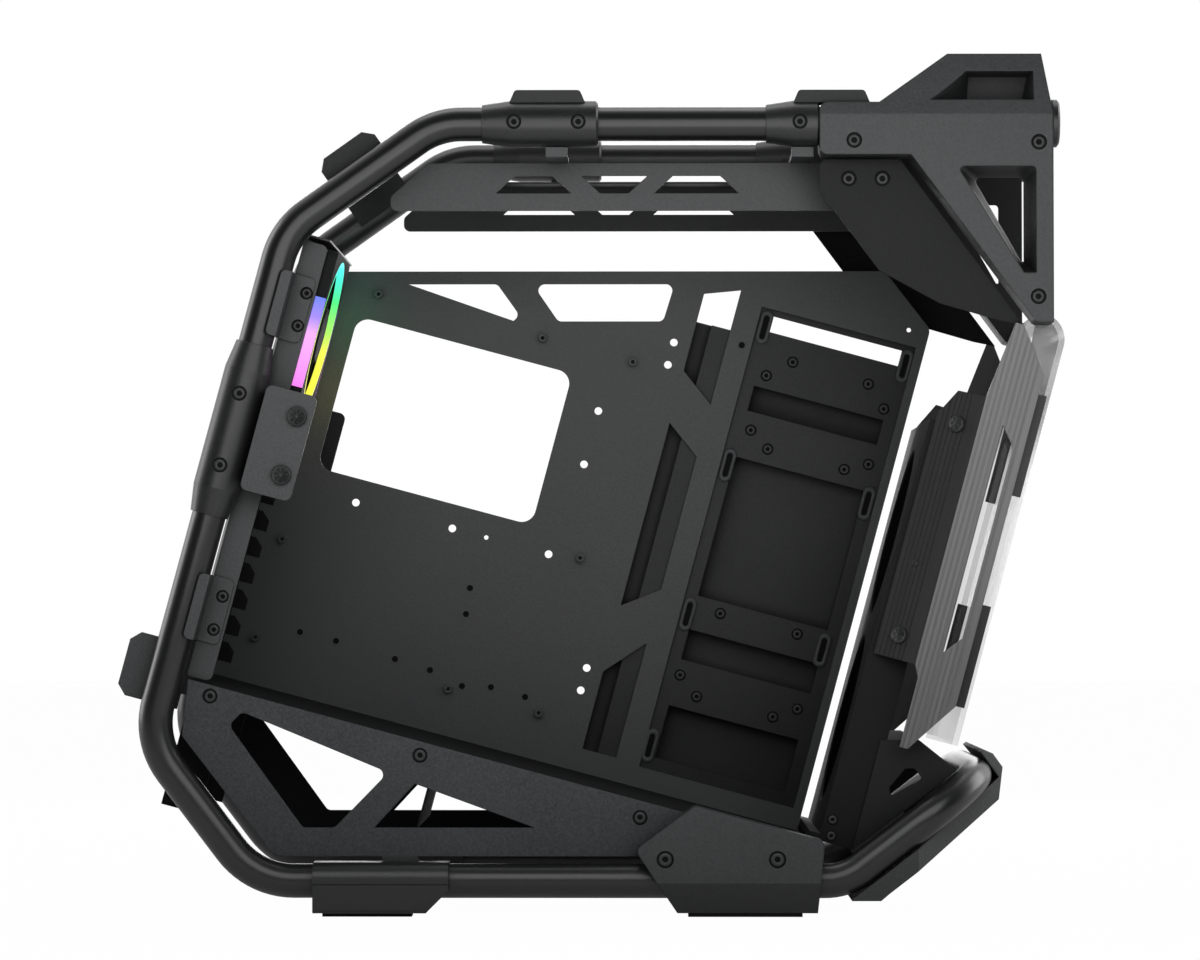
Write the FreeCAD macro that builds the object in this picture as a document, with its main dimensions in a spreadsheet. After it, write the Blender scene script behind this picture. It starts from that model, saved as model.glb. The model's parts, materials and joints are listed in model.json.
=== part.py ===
import FreeCAD, Part
import math
import os
import Sketcher

# Driving dimensions in millimetres and degrees. X runs from the rear to the front, Y across from the
# left side to the right, Z up. A u, v pair is a place along and up the leaning board chamber.
SIZES = {
    # Whole case
    "tilt": 15,
    "half_width": 125,
    "sheet_thickness": 1.5,
    "seat_gap": 0.2,
    # Bent tubes of the frame
    "tube_diameter": 25,
    "tube_wall": 2,
    "bend_radius": 58,
    "bumper_bend_radius": 55,
    "toe_bend_radius": 45,
    "top_run_z": 578.5,
    "top_bend_x": -114,
    "shoulder_x": -224.5,
    "shoulder_z": 500,
    "hip_z": 128,
    "heel_x": -246,
    "base_run_z": 25.5,
    "toe_x": 185,
    "bumper_x": 283,
    "bumper_z": 101,
    "nose_x": 335,
    "top_joint_x": -38,
    "rear_joint_v": 274,
    "foot_joint_x": 108,
    "joint_gap": 1,
    # Couplers, pads and caps on the tubes
    "coupler_diameter": 34,
    "coupler_tip_diameter": 28,
    "coupler_taper": 20,
    "coupler_chamfer": 1.5,
    "top_coupler_rear_x": -80.5,
    "top_coupler_length": 85,
    "front_coupler_length": 39,
    "rear_coupler_low_v": 210,
    "rear_coupler_length": 129,
    "pad_width": 18,
    "pad_height": 7,
    "pad_slope": 4,
    "pad_round": 3,
    "top_pad_rear_x": -60.5,
    "top_pad_length": 55.5,
    "front_pad_rear_x": 147,
    "front_pad_length": 56,
    "cap_diameter": 35,
    "cap_thickness": 5,
    # Feet
    "foot_pad_thickness": 3,
    "foot_width": 40,
    "rear_foot_rear_x": -202.5,
    "rear_foot_length": 98.5,
    "rear_foot_top_z": 39.5,
    "rear_foot_chamfer": 16.5,
    "rear_foot_shoulder": 12,
    "rear_foot_round": 3,
    "rear_foot_split_z": 23.3,
    "split_width": 1,
    "split_depth": 0.8,
    "rear_foot_boss_length": 26,
    "rear_pad_inset": 6.5,
    "rear_pad_length": 65,
    "front_foot_rear_x": 31.5,
    "front_foot_waist_z": 49,
    "front_foot_peak_x": 75,
    "front_foot_peak_z": 81,
    "front_foot_front_x": 169,
    "front_foot_brow_z": 55.5,
    "front_foot_sole_rear_x": 62,
    "front_foot_sole_length": 102,
    "front_foot_fold_z": 25,
    "front_foot_fold_depth": 7,
    "front_foot_block_z": 39.5,
    "front_foot_round": 5,
    "front_pad_inset": 8,
    "front_foot_pad_length": 83,
    # Handle blocks and the bar between them
    "handle_outer_y": 141,
    "handle_thickness": 35,
    "handle_rear_x": 166,
    "handle_sill_z": 593,
    "handle_rise_x": 209.5,
    "handle_crest_x": 259.5,
    "handle_crest_z": 629,
    "handle_brow_x": 328,
    "handle_front_x": 336,
    "handle_toe_x": 323.5,
    "handle_toe_z": 432,
    "handle_knee_x": 232.5,
    "handle_belly_z": 554.5,
    "handle_round": 6,
    "handle_fold_z": 584,
    "handle_fold_depth": 9,
    "grip_rear_x": 243,
    "grip_crown_x": 272,
    "grip_front_x": 323,
    "grip_low_z": 594.5,
    "grip_high_z": 616.5,
    "grip_depth": 26,
    "grip_rear_funnel": 32,
    "grip_front_funnel": 8,
    "grip_top_funnel": 2.4,
    "grip_corner_funnel": 4,
    "window_rear_x": 266,
    "window_top_z": 546,
    "window_front_x": 323.5,
    "window_low_z": 468,
    "window_toe_width": 9,
    "window_rear_bevel": 14.5,
    "window_front_bevel": 6.3,
    "window_toe_bevel": 8,
    "window_top_bevel": 5.4,
    "window_low_bevel": 11,
    "window_round": 3,
    "bar_inset": 3,
    "button_diameter": 14,
    "small_button_diameter": 8,
    "button_height": 5.5,
    "button_proud": 1.5,
    "button_well": 5.5,
    "button_gap": 0.3,
    "button_row_x": 300,
    "button_pitch": 32,
    "port_row_x": 300,
    "port_pitch": 24,
    "port_depth": 12,
    "port_shell": 0.8,
    "port_a_width": 14,
    "port_a_height": 7,
    "port_c_width": 10,
    "port_c_height": 4,
    # Corner plates
    "corner_rear_x": 166.5,
    "corner_top_z": 552.5,
    "corner_rear_height": 23,
    "corner_gap": 7,
    "corner_heel_x": 299,
    "corner_heel_z": 434,
    "corner_belly_x": 254,
    "corner_belly_z": 447,
    "corner_fork_x": 210,
    "corner_fork_z": 471,
    "corner_round": 6,
    # Top fan bracket and its hangers
    "bracket_half_width": 86.5,
    "bracket_flange": 34.5,
    "bracket_top_z": 554,
    "bracket_height": 35.5,
    "bracket_rear_x": -150,
    "bracket_front_x": 236,
    "bracket_snout": 27.5,
    "bracket_snout_height": 10.5,
    "bracket_round": 5,
    "bracket_tie": 18,
    "bracket_window_top": 9.6,
    "bracket_window_low": 22.5,
    "bracket_window_flare": 14,
    "rear_window_x": -44,
    "rear_window_half": 14,
    "middle_window_x": 16,
    "middle_window_half": 10.5,
    "front_window_x": 77,
    "front_window_half": 17.5,
    "hanger_width": 16,
    "hanger_thickness": 3,
    "rear_hanger_x": -34,
    "front_hanger_x": 146,
    # Braces across the rear of the frame
    "brace_length": 48,
    "upper_brace_depth": 3,
    "lower_brace_depth": 13,
    "upper_brace_reach": 29,
    "lower_brace_reach": 33.5,
    "brace_chamfer": 7,
    "upper_brace_along": 70.5,
    "lower_brace_v": 90,
    # Rear panel, slot covers and fan
    "panel_u": -332.5,
    "panel_low_v": 92,
    "panel_high_v": 423,
    "panel_half_width": 114.5,
    "panel_flange": 18.5,
    "panel_crown": 7,
    "panel_lip_inset": 3,
    "io_height": 158.75,
    "io_width": 44.45,
    "io_low_v": 252,
    "io_left_y": 14,
    "slot_count": 7,
    "slot_pitch": 20.32,
    "slot_low_v": 106,
    "slot_half_width": 50,
    "slot_cover_gap": 0.8,
    "slot_cover_lap": 5,
    "slot_tab": 22,
    "slot_notch": 6,
    "fan_side": 120,
    "fan_depth": 25,
    "fan_y": -50,
    "fan_v": 361,
    "fan_duct_diameter": 114,
    "fan_hub_diameter": 42,
    "fan_blades": 9,
    "fan_tip_diameter": 104,
    "fan_blade_chord": 17,
    "fan_blade_thickness": 1.6,
    "fan_root_pitch": 50,
    "fan_tip_pitch": 28,
    "fan_pin_diameter": 4,
    "fan_pin_gap": 0.05,
    "fan_strut_width": 6,
    "fan_base_thickness": 3,
    "fan_running_gap": 1.5,
    "ring_thickness": 3,
    "ring_depth": 5,
    "light_bar_drop": 9.5,
    "light_bar_length": 68,
    "light_bar_width": 8,
    "light_bar_thickness": 1,
    "clip_length": 49,
    "upper_clip_v": 348,
    "lower_clip_v": 119,
    "clip_lip": 8,
    "clip_outer_y": 140,
    "clip_foot": 16,
    "clip_round": 4,
    "thumb_plate_low_v": 234,
    "thumb_plate_height": 79,
    "thumb_plate_width": 38,
    "thumb_plate_rear_u": -328,
    "thumb_plate_y": 144,
    "thumb_plate_thickness": 2,
    "thumb_round": 5,
    "thumb_screw_u": -301,
    "thumb_screw_inset": 17.5,
    "thumb_screw_diameter": 14.5,
    "thumb_screw_height": 5,
    # Board tray and what is on it
    "tray_y": 65,
    "tray_top_z": 485.5,
    "tray_front_u": 138,
    "tray_chamfer_u": 46,
    "tray_front_top_v": 492.5,
    "tray_round": 8,
    "cpu_rear_u": -295,
    "cpu_low_v": 265.5,
    "cpu_width": 173,
    "cpu_height": 122,
    "cpu_round": 11,
    "cut_top_z": 475.5,
    "fin_cut_rear_x": -145,
    "fin_cut_front_x": -76,
    "fin_cut_tip_x": -58.5,
    "fin_cut_low_z": 447,
    "fin_cut_tip_rise": 4,
    "trap_rear_x": -48.5,
    "trap_front_x": 62,
    "trap_low_z": 446.5,
    "trap_rear_slope": 20,
    "trap_front_slope": 9,
    "trap_round": 5,
    "cable_rear_u": -39,
    "cable_width": 27,
    "cable_slant": 20,
    "cable_high_top_v": 484,
    "cable_high_length": 92,
    "cable_mid_top_v": 370,
    "cable_mid_length": 147,
    "cable_low_top_v": 200,
    "cable_low_length": 92,
    "cable_bracket_depth": 8,
    "cable_bracket_lap": 6,
    "cable_hand_hole": 32,
    "tray_hole_diameter": 6,
    "hole_row_v": 247,
    "hole_row_rear_u": -258.7,
    "hole_row_middle_u": -181,
    "hole_row_front_u": -103.5,
    "pin_hole_diameter": 3.5,
    "pin_hole_u": -153.7,
    "side_hole_u": -95,
    "side_hole_low_v": 321.6,
    "side_hole_pitch": 43,
    "cable_hole_inset": 13,
    "cable_hole_pitch": 18,
    "cable_hole_high_v": 431.3,
    "cable_hole_low_v": 169.4,
    "corner_hole_u": 121.9,
    "corner_hole_v": 487.8,
    "board_left_u": -306.3,
    "board_top_v": 408,
    "board_inner_column": 22.86,
    "board_middle_column": 154.94,
    "board_right_column": 227.33,
    "board_middle_row": 157.48,
    "board_small_row": 203.2,
    "board_bottom_row": 281.94,
    "standoff_diameter": 6,
    "standoff_height": 6.5,
    "standoff_bore": 3,
    "drive_rear_u": 7,
    "drive_width": 124,
    "drive_low_v": 106,
    "drive_height": 370,
    "drive_lap": 4,
    "drive_rim": 10,
    "drive_depth": 10,
    "drive_window_height": 12.5,
    "drive_cross_height": 37,
    "drive_upper_cross_v": 395,
    "drive_middle_cross_v": 358,
    "drive_lower_cross_v": 219,
    "drive_bottom_cross_v": 158,
    # Power supply shroud
    "shroud_half_width": 122,
    "shroud_top_v": 90,
    "shroud_rear_u": -330,
    "shroud_front_x": 158,
    "shroud_low_z": 43,
    "shroud_rear_x": -300,
    "shroud_rear_z": 131,
    "shroud_heel_x": -232,
    "shroud_round": 14,
    "shroud_window_rear_x": -265.5,
    "shroud_window_rear_z": 138.5,
    "shroud_window_crown_x": -256,
    "shroud_window_tip_x": -149,
    "shroud_window_low_z": 64,
    "shroud_window_low_rear_x": -211.5,
    "shroud_window_low_front_x": -188,
    "shroud_window_crown_drop": 13.5,
    "shroud_window_tip_drop": 29,
    "shroud_fork_x": -129.5,
    "shroud_fork_rear_x": -159,
    "shroud_fork_front_x": -42,
    "shroud_fork_drop": 32,
    "shroud_window_round": 5,
    "supply_u": -329,
    "supply_half_width": 84,
    "supply_drop": 94.5,
    "supply_flange": 29,
    "supply_opening_half_width": 71,
    "supply_opening_height": 80,
    "supply_lip": 19,
    "stop_u": -142,
    "stop_half_width": 80,
    "stop_drop": 62,
    # Front: fan bracket, ribbed fins, glass and bumper
    "front_u": 146,
    "front_half_width": 105,
    "front_flange": 30,
    "front_tie": 5,
    "front_low_v": 95,
    "front_high_v": 415,
    "front_fan_diameter": 130,
    "front_fan_low_v": 185,
    "front_fan_pitch": 145,
    "fin_outer_y": 128,
    "fin_thickness": 3,
    "fin_front_u": 216.5,
    "fin_crease_u": 180,
    "fin_inner_u": 150,
    "fin_seat": 2.7,
    "fin_tip_u": 190,
    "fin_tip_v": 498,
    "fin_brow_v": 466,
    "fin_chin_v": 216,
    "fin_toe_u": 187.5,
    "fin_toe_v": 177,
    "fin_low_v": 238,
    "fin_high_v": 440,
    "fin_shoulder": 20,
    "fin_slot_rear_u": 197,
    "fin_slot_front_u": 208.5,
    "fin_slot_high_v": 423,
    "fin_slot_low_v": 251,
    "fin_slot_slant": 14,
    "groove_width": 1.2,
    "groove_depth": 0.8,
    "groove_pitch": 4,
    "fin_grooves": 8,
    "skirt_grooves": 6,
    "glass_front_u": 227,
    "glass_thickness": 4,
    "glass_wall_depth": 24,
    "glass_low_v": 188,
    "glass_high_v": 512,
    "glass_round": 20,
    "strip_width": 8,
    "strip_inset": 2.5,
    "strip_thickness": 1.2,
    "strip_low_v": 216,
    "strip_length": 77,
    "strip_gap": 83,
    "chin_start": 16,
    "chin_length": 98,
    "chin_ledge": 48,
    "chin_top_x": 211.5,
    "chin_top_z": 127.5,
    "chin_top_length": 28,
    "chin_slot_rear_x": 218,
    "chin_slot_low_z": 86,
    "chin_slot_waist_z": 93,
    "chin_slot_crown_x": 229.5,
    "chin_slot_crown_z": 106.5,
    "chin_slot_crown_length": 7,
    "chin_slot_front_x": 242,
    "chin_slot_front_z": 99,
    "chin_slot_round": 2,
    "guard_half_width": 134,
    "guard_gap": 0.5,
    "guard_thickness": 13,
    "guard_nose": 7,
    "guard_start": 19,
    "guard_heel_x": 189,
    "guard_heel_z": 11.5,
    "guard_heel_thickness": 1.4,
    "guard_heel_length": 21,
    "guard_chamfer": 17,
    "guard_lip": 11,
    "guard_lip_slope": 4,
    "guard_round": 62,
}


class Size:
    """A value of the sheet, or one worked out from it, with the expression text that binds it."""

    def __init__(self, value, text):
        self.value = float(value)
        self.text = text

    def __add__(self, other):
        other = as_size(other)
        return Size(self.value + other.value, "(%s + %s)" % (self.text, other.text))

    def __sub__(self, other):
        other = as_size(other)
        return Size(self.value - other.value, "(%s - %s)" % (self.text, other.text))

    def __mul__(self, other):
        other = as_size(other)
        return Size(self.value * other.value, "(%s * %s)" % (self.text, other.text))

    def __truediv__(self, other):
        other = as_size(other)
        return Size(self.value / other.value, "(%s / %s)" % (self.text, other.text))

    def __neg__(self):
        return as_size(0) - self

    def __radd__(self, other):
        return as_size(other) + self

    def __rsub__(self, other):
        return as_size(other) - self

    def __rmul__(self, other):
        return as_size(other) * self


def as_size(number):
    """A plain number as a Size."""
    if isinstance(number, Size):
        return number
    return Size(number, "(%r)" % float(number))


class Sheet:
    """The spreadsheet of driving dimensions; each one is read as an attribute."""

    def __init__(self, document, values):
        self.table = document.addObject("Spreadsheet::Sheet", "Sizes")
        self.values = values
        for row, (name, value) in enumerate(values.items(), start=1):
            self.table.set("A%d" % row, name)
            self.table.set("B%d" % row, str(value))
            self.table.setAlias("B%d" % row, name)

    def __getattr__(self, name):
        return Size(self.values[name], "Sizes." + name)


doc = FreeCAD.newDocument("open_frame_tower")
size = Sheet(doc, SIZES)
doc.recompute()

SIDES = (("left", 1), ("right", -1))
nodes = []


def cosine(angle):
    return Size(math.cos(math.radians(angle.value)), "cos(%s * 1deg)" % angle.text)


def sine(angle):
    return Size(math.sin(math.radians(angle.value)), "sin(%s * 1deg)" % angle.text)


LEAN_COS = cosine(size.tilt)
LEAN_SIN = sine(size.tilt)


def upright(u, v):
    """The upright X, Z of a place in the leaning chamber."""
    return u * LEAN_COS + v * LEAN_SIN, v * LEAN_COS - u * LEAN_SIN


def leaning(x, z):
    """The chamber's u, v of an upright place."""
    return x * LEAN_COS - z * LEAN_SIN, x * LEAN_SIN + z * LEAN_COS


def on_level(u, z):
    """The chamber point at u whose upright height is z."""
    return u, (z + u * LEAN_SIN) / LEAN_COS


# Drawing helpers
AXES_OF_PLANE = {"XY_Plane": (0, 1), "XZ_Plane": (0, 2), "YZ_Plane": (1, 2)}


def origin_feature(body, role):
    return next(f for f in body.Origin.OriginFeatures if f.Role == role)


def bind(obj, prop, value):
    obj.setExpression(prop, as_size(value).text)


def new_body(name, leans=False):
    body = doc.addObject("PartDesign::Body", name)
    body.Label = name
    if leans:
        turn = FreeCAD.Rotation(FreeCAD.Vector(0, 1, 0), size.tilt.value)
        body.Placement = FreeCAD.Placement(FreeCAD.Vector(), turn)
        bind(body, "Placement.Rotation.Angle", size.tilt)
    return body


def new_sketch(body, plane, offset=0):
    """A sketch on one of the body's own planes, moved along the plane's normal."""
    sketch = body.newObject("Sketcher::SketchObject", body.Name + "_sketch")
    sketch.AttachmentSupport = [(origin_feature(body, plane), "")]
    sketch.MapMode = "FlatFace"
    offset = as_size(offset)
    sketch.AttachmentOffset = FreeCAD.Placement(FreeCAD.Vector(0, 0, offset.value), FreeCAD.Rotation())
    bind(sketch, "AttachmentOffset.Base.z", offset)
    return sketch


def pin_point(sketch, geometry, position, point):
    """Holds a point of the sketch at its two bound distances from the sketch's origin."""
    for kind, distance in zip(("DistanceX", "DistanceY"), point):
        distance = as_size(distance)
        index = sketch.addConstraint(
            Sketcher.Constraint(kind, -1, 1, geometry, position, distance.value))
        bind(sketch, "Constraints[%d]" % index, distance)


def flat(point):
    return FreeCAD.Vector(as_size(point[0]).value, as_size(point[1]).value, 0)


def draw_polygon(sketch, points):
    first = sketch.GeometryCount
    count = len(points)
    for index, point in enumerate(points):
        following = points[(index + 1) % count]
        sketch.addGeometry(Part.LineSegment(flat(point), flat(following)), False)
    for index in range(count):
        following = first + (index + 1) % count
        sketch.addConstraint(Sketcher.Constraint("Coincident", first + index, 2, following, 1))
    for index, point in enumerate(points):
        pin_point(sketch, first + index, 1, point)


def draw_box(sketch, low, high):
    draw_polygon(sketch, [low, (high[0], low[1]), high, (low[0], high[1])])


def draw_circle(sketch, center, diameter):
    radius = diameter / 2
    normal = FreeCAD.Vector(0, 0, 1)
    index = sketch.addGeometry(Part.Circle(flat(center), normal, radius.value), False)
    pin_point(sketch, index, 3, center)
    constraint = sketch.addConstraint(Sketcher.Constraint("Radius", index, radius.value))
    bind(sketch, "Constraints[%d]" % constraint, radius)


def add_pad(body, sketch, length, reverse=False, symmetric=False):
    pad = body.newObject("PartDesign::Pad", body.Name + "_pad")
    pad.Profile = sketch
    bind(pad, "Length", length)
    pad.Reversed = reverse
    if symmetric:
        pad.SideType = "Symmetric"
    doc.recompute()
    return pad


def add_pocket(body, sketch, depth=None, symmetric=False):
    """A cut along the sketch's normal: right through both ways, or to a depth."""
    pocket = body.newObject("PartDesign::Pocket", body.Name + "_pocket")
    pocket.Profile = sketch
    if depth is None:
        pocket.Type = "ThroughAll"
    else:
        bind(pocket, "Length", depth)
    if depth is None or symmetric:
        pocket.SideType = "Symmetric"
    doc.recompute()
    return pocket


def round_edges(body, plane, points, radius):
    """Rounds the edges that stand on the plane at the given points."""
    base = body.Tip
    first, second = AXES_OF_PLANE[plane]
    wanted = [(as_size(p[0]).value, as_size(p[1]).value) for p in points]
    names = []
    for index, edge in enumerate(base.Shape.Edges, start=1):
        ends = [vertex.Point for vertex in edge.Vertexes]
        for place in wanted:
            if len(ends) == 2 and all(math.dist((e[first], e[second]), place) < 0.01 for e in ends):
                names.append("Edge%d" % index)
    fillet = body.newObject("PartDesign::Fillet", body.Name + "_round")
    fillet.Base = (base, names)
    bind(fillet, "Radius", radius)
    doc.recompute()
    return fillet


def round_funnel(body, corners, radius):
    """Rounds the slanted edges of a tapered recess that start near its mouth's corners."""
    base = body.Tip
    reach = radius.value
    names = []
    for index, edge in enumerate(base.Shape.Edges, start=1):
        ends = [vertex.Point for vertex in edge.Vertexes]
        if len(ends) != 2 or abs(ends[0].y - ends[1].y) < reach:
            continue
        mouth = max(ends, key=lambda end: abs(end.y))
        wanted = [(corner[0].value, corner[1].value) for corner in corners]
        if any(math.dist((mouth.x, mouth.z), place) < reach for place in wanted):
            names.append("Edge%d" % index)
    fillet = body.newObject("PartDesign::Fillet", body.Name + "_round")
    fillet.Base = (base, names)
    bind(fillet, "Radius", radius)
    doc.recompute()
    return fillet


def revolve(body, points, axis="Z_Axis", plane="XZ_Plane"):
    sketch = new_sketch(body, plane)
    draw_polygon(sketch, points)
    turned = body.newObject("PartDesign::Revolution", body.Name + "_turned")
    turned.Profile = sketch
    turned.ReferenceAxis = (origin_feature(body, axis), [""])
    turned.Angle = 360
    doc.recompute()
    return turned


def move(body, x=0, y=0, z=0):
    for name, value in (("x", x), ("y", y), ("z", z)):
        bind(body, "Placement.Base." + name, value)


def turn_about_y(body, angle):
    angle = as_size(angle)
    turn = FreeCAD.Rotation(FreeCAD.Vector(0, 1, 0), angle.value)
    body.Placement = FreeCAD.Placement(FreeCAD.Vector(), turn)
    bind(body, "Placement.Rotation.Angle", angle)


def keep(obj):
    nodes.append(obj)
    return obj


def keep_group(name, pieces):
    group = doc.addObject("Part::Compound", name)
    group.Label = name
    group.Links = pieces
    return keep(group)


def side_plate(body, outline, outer, thickness, hand, windows=()):
    """A plate that faces one side of the case: its outer face is at a distance from the middle plane."""
    sketch = new_sketch(body, "XZ_Plane", hand * outer)
    draw_polygon(sketch, outline)
    for window in windows:
        draw_polygon(sketch, window)
    return add_pad(body, sketch, thickness, reverse=hand > 0)


def cross_plate(body, low, high, half_width):
    """A plate right across the case, drawn by its two corners seen from the side."""
    sketch = new_sketch(body, "XZ_Plane")
    draw_box(sketch, low, high)
    return add_pad(body, sketch, half_width * 2, symmetric=True)


# Frame tubes
TUBE_RADIUS = size.tube_diameter / 2
CLEAR_BORE = size.tube_diameter + size.seat_gap * 2
REAR_TUBE_U = leaning(size.shoulder_x, size.shoulder_z)[0]


def bent_spine(sketch, corners, radius):
    """Straight runs between the corners, joined by tangent arcs of one radius."""
    points = [flat(corner) for corner in corners]
    starts = [points[0]]
    ends = []
    arcs = []
    for before, corner, after in zip(points, points[1:], points[2:]):
        into = (corner - before).normalize()
        out = (after - corner).normalize()
        reach = radius.value * math.tan(into.getAngle(out) / 2)
        begin = corner - into * reach
        finish = corner + out * reach
        left_turn = into.x * out.y - into.y * out.x > 0
        inward = FreeCAD.Vector(-into.y, into.x, 0) * (1 if left_turn else -1)
        center = begin + inward * radius.value
        ends.append(begin)
        starts.append(finish)
        arcs.append((center, begin, finish, left_turn))
    ends.append(points[-1])
    lines = [sketch.addGeometry(Part.LineSegment(a, b), False) for a, b in zip(starts, ends)]
    for index, (center, begin, finish, left_turn) in enumerate(arcs):
        first, last = (begin, finish) if left_turn else (finish, begin)
        angles = [math.atan2(p.y - center.y, p.x - center.x) for p in (first, last)]
        circle = Part.Circle(center, FreeCAD.Vector(0, 0, 1), radius.value)
        arc = sketch.addGeometry(Part.ArcOfCircle(circle, *angles), False)
        entry, leave = (1, 2) if left_turn else (2, 1)
        sketch.addConstraint(Sketcher.Constraint("Tangent", lines[index], 2, arc, entry))
        sketch.addConstraint(Sketcher.Constraint("Tangent", lines[index + 1], 1, arc, leave))
        limit = sketch.addConstraint(Sketcher.Constraint("Radius", arc, radius.value))
        bind(sketch, "Constraints[%d]" % limit, radius)
        corner = sketch.addGeometry(Part.Point(points[index + 1]), True)
        sketch.addConstraint(Sketcher.Constraint("PointOnObject", corner, 1, lines[index]))
        sketch.addConstraint(Sketcher.Constraint("PointOnObject", corner, 1, lines[index + 1]))
        pin_point(sketch, corner, 1, corners[index + 1])
    pin_point(sketch, lines[0], 1, corners[0])
    pin_point(sketch, lines[-1], 2, corners[-1])


def bent_tube(name, corners, hand):
    """A tube in one side plane; its first run lies along X."""
    body = new_body(name)
    lateral = hand * size.half_width
    spine = new_sketch(body, "XZ_Plane", lateral)
    bent_spine(spine, corners, size.bend_radius)
    start_x, start_z = corners[0]
    ring = new_sketch(body, "YZ_Plane", start_x)
    draw_circle(ring, (-lateral, start_z), size.tube_diameter)
    draw_circle(ring, (-lateral, start_z), size.tube_diameter - size.tube_wall * 2)
    pipe = body.newObject("PartDesign::AdditivePipe", name + "_pipe")
    pipe.Profile = ring
    pipe.Spine = (spine, [])
    doc.recompute()
    return keep(body)


def frame_tubes():
    shoulder = (size.shoulder_x, size.shoulder_z)
    top_bend = (size.top_bend_x, size.top_run_z)
    hip_u_drop = (size.shoulder_z - size.hip_z) * LEAN_SIN / LEAN_COS
    hip = (size.shoulder_x - hip_u_drop, size.hip_z)
    half_gap = size.joint_gap / 2
    for side, hand in SIDES:
        straight = new_body(side + "_top_tube")
        ring = new_sketch(straight, "YZ_Plane", size.top_joint_x + half_gap)
        draw_circle(ring, (-hand * size.half_width, size.top_run_z), size.tube_diameter)
        draw_circle(ring, (-hand * size.half_width, size.top_run_z),
                    size.tube_diameter - size.tube_wall * 2)
        add_pad(straight, ring, size.nose_x - size.top_joint_x - half_gap)
        keep(straight)
        bent_tube(side + "_rear_tube", [
            (size.top_joint_x - half_gap, size.top_run_z), top_bend, shoulder,
            upright(REAR_TUBE_U, size.rear_joint_v + half_gap)], hand)
        bent_tube(side + "_base_tube", [
            (size.foot_joint_x - half_gap, size.base_run_z), (size.heel_x, size.base_run_z), hip,
            upright(REAR_TUBE_U, size.rear_joint_v - half_gap)], hand)


def bumper_tube():
    """The one tube that turns across the front; its path leaves the side planes."""
    def place(x, hand, z):
        return FreeCAD.Vector(x.value, -hand * size.half_width.value, z.value)

    half_gap = size.joint_gap / 2
    run_in = [(size.foot_joint_x + half_gap, size.base_run_z), (size.toe_x, size.base_run_z),
              (size.bumper_x, size.bumper_z)]
    points = [place(x, 1, z) for x, z in run_in] + [place(x, -1, z) for x, z in reversed(run_in)]
    radii = [size.toe_bend_radius, size.bumper_bend_radius, size.bumper_bend_radius, size.toe_bend_radius]
    edges = []
    start = points[0]
    for before, corner, after, radius in zip(points, points[1:], points[2:], radii):
        into = (corner - before).normalize()
        out = (after - corner).normalize()
        half_turn = into.getAngle(out) / 2
        reach = radius.value * math.tan(half_turn)
        begin = corner - into * reach
        finish = corner + out * reach
        bulge = (out - into).normalize() * radius.value * (1 / math.cos(half_turn) - 1)
        edges.append(Part.LineSegment(start, begin).toShape())
        edges.append(Part.Arc(begin, corner + bulge, finish).toShape())
        start = finish
    edges.append(Part.LineSegment(start, points[-1]).toShape())
    path = Part.Wire(edges)
    solids = []
    for diameter in (size.tube_diameter, size.tube_diameter - size.tube_wall * 2):
        ring = Part.Wire(Part.makeCircle(diameter.value / 2, points[0], FreeCAD.Vector(1, 0, 0)))
        solids.append(path.makePipeShell([ring], True, False))
    tube = doc.addObject("Part::Feature", "bumper_tube")
    tube.Label = "bumper_tube"
    tube.Shape = solids[0].cut(solids[1])
    keep(tube)


# Couplers, pads and caps
def coupler(name, length, low_end, high_end):
    """A sleeve along its own Z; each end has its radius and the length of its taper."""
    body = new_body(name)
    bore = CLEAR_BORE / 2
    full = size.coupler_diameter / 2
    low_radius, low_taper = low_end
    high_radius, high_taper = high_end
    revolve(body, [(bore, 0), (low_radius, 0), (full, low_taper), (full, length - high_taper),
                   (high_radius, length), (bore, length)])
    return keep(body)


def couplers():
    tapered = (size.coupler_tip_diameter / 2, size.coupler_taper)
    blunt = (size.coupler_diameter / 2 - size.coupler_chamfer, size.coupler_chamfer)
    for side, hand in SIDES:
        lateral = -hand * size.half_width
        top = coupler(side + "_top_coupler", size.top_coupler_length, tapered, blunt)
        turn_about_y(top, 90)
        move(top, size.top_coupler_rear_x, lateral, size.top_run_z)
        front = coupler(side + "_front_coupler", size.front_coupler_length, tapered, blunt)
        turn_about_y(front, 90)
        move(front, size.handle_rear_x - size.front_coupler_length, lateral, size.top_run_z)
        rear = coupler(side + "_rear_coupler", size.rear_coupler_length, tapered, tapered)
        turn_about_y(rear, size.tilt)
        place = upright(REAR_TUBE_U, size.rear_coupler_low_v)
        move(rear, place[0], lateral, place[1])


def coupler_pads():
    """Rubber pads that sit on top of the couplers and the handle sills."""
    crown = size.top_run_z + size.coupler_diameter / 2
    pads = []
    for side, hand in SIDES:
        for spot, rear_x, length in (("top", size.top_pad_rear_x, size.top_pad_length),
                                     ("front", size.front_pad_rear_x, size.front_pad_length)):
            body = new_body("%s_%s_pad" % (side, spot))
            sketch = new_sketch(body, "XZ_Plane", hand * size.half_width)
            low = size.handle_sill_z + size.seat_gap
            high = crown + size.pad_height
            front_x = rear_x + length
            outline = [(rear_x, low), (front_x, low), (front_x - size.pad_slope, high),
                       (rear_x + size.pad_slope, high)]
            draw_polygon(sketch, outline)
            add_pad(body, sketch, size.pad_width, symmetric=True)
            round_edges(body, "XZ_Plane", outline[2:], size.pad_round)
            saddle = new_sketch(body, "YZ_Plane")
            draw_circle(saddle, (-hand * size.half_width, size.top_run_z),
                        size.coupler_diameter + size.seat_gap * 2)
            add_pocket(body, saddle)
            pads.append(body)
    keep_group("coupler_pads", pads)


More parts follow.
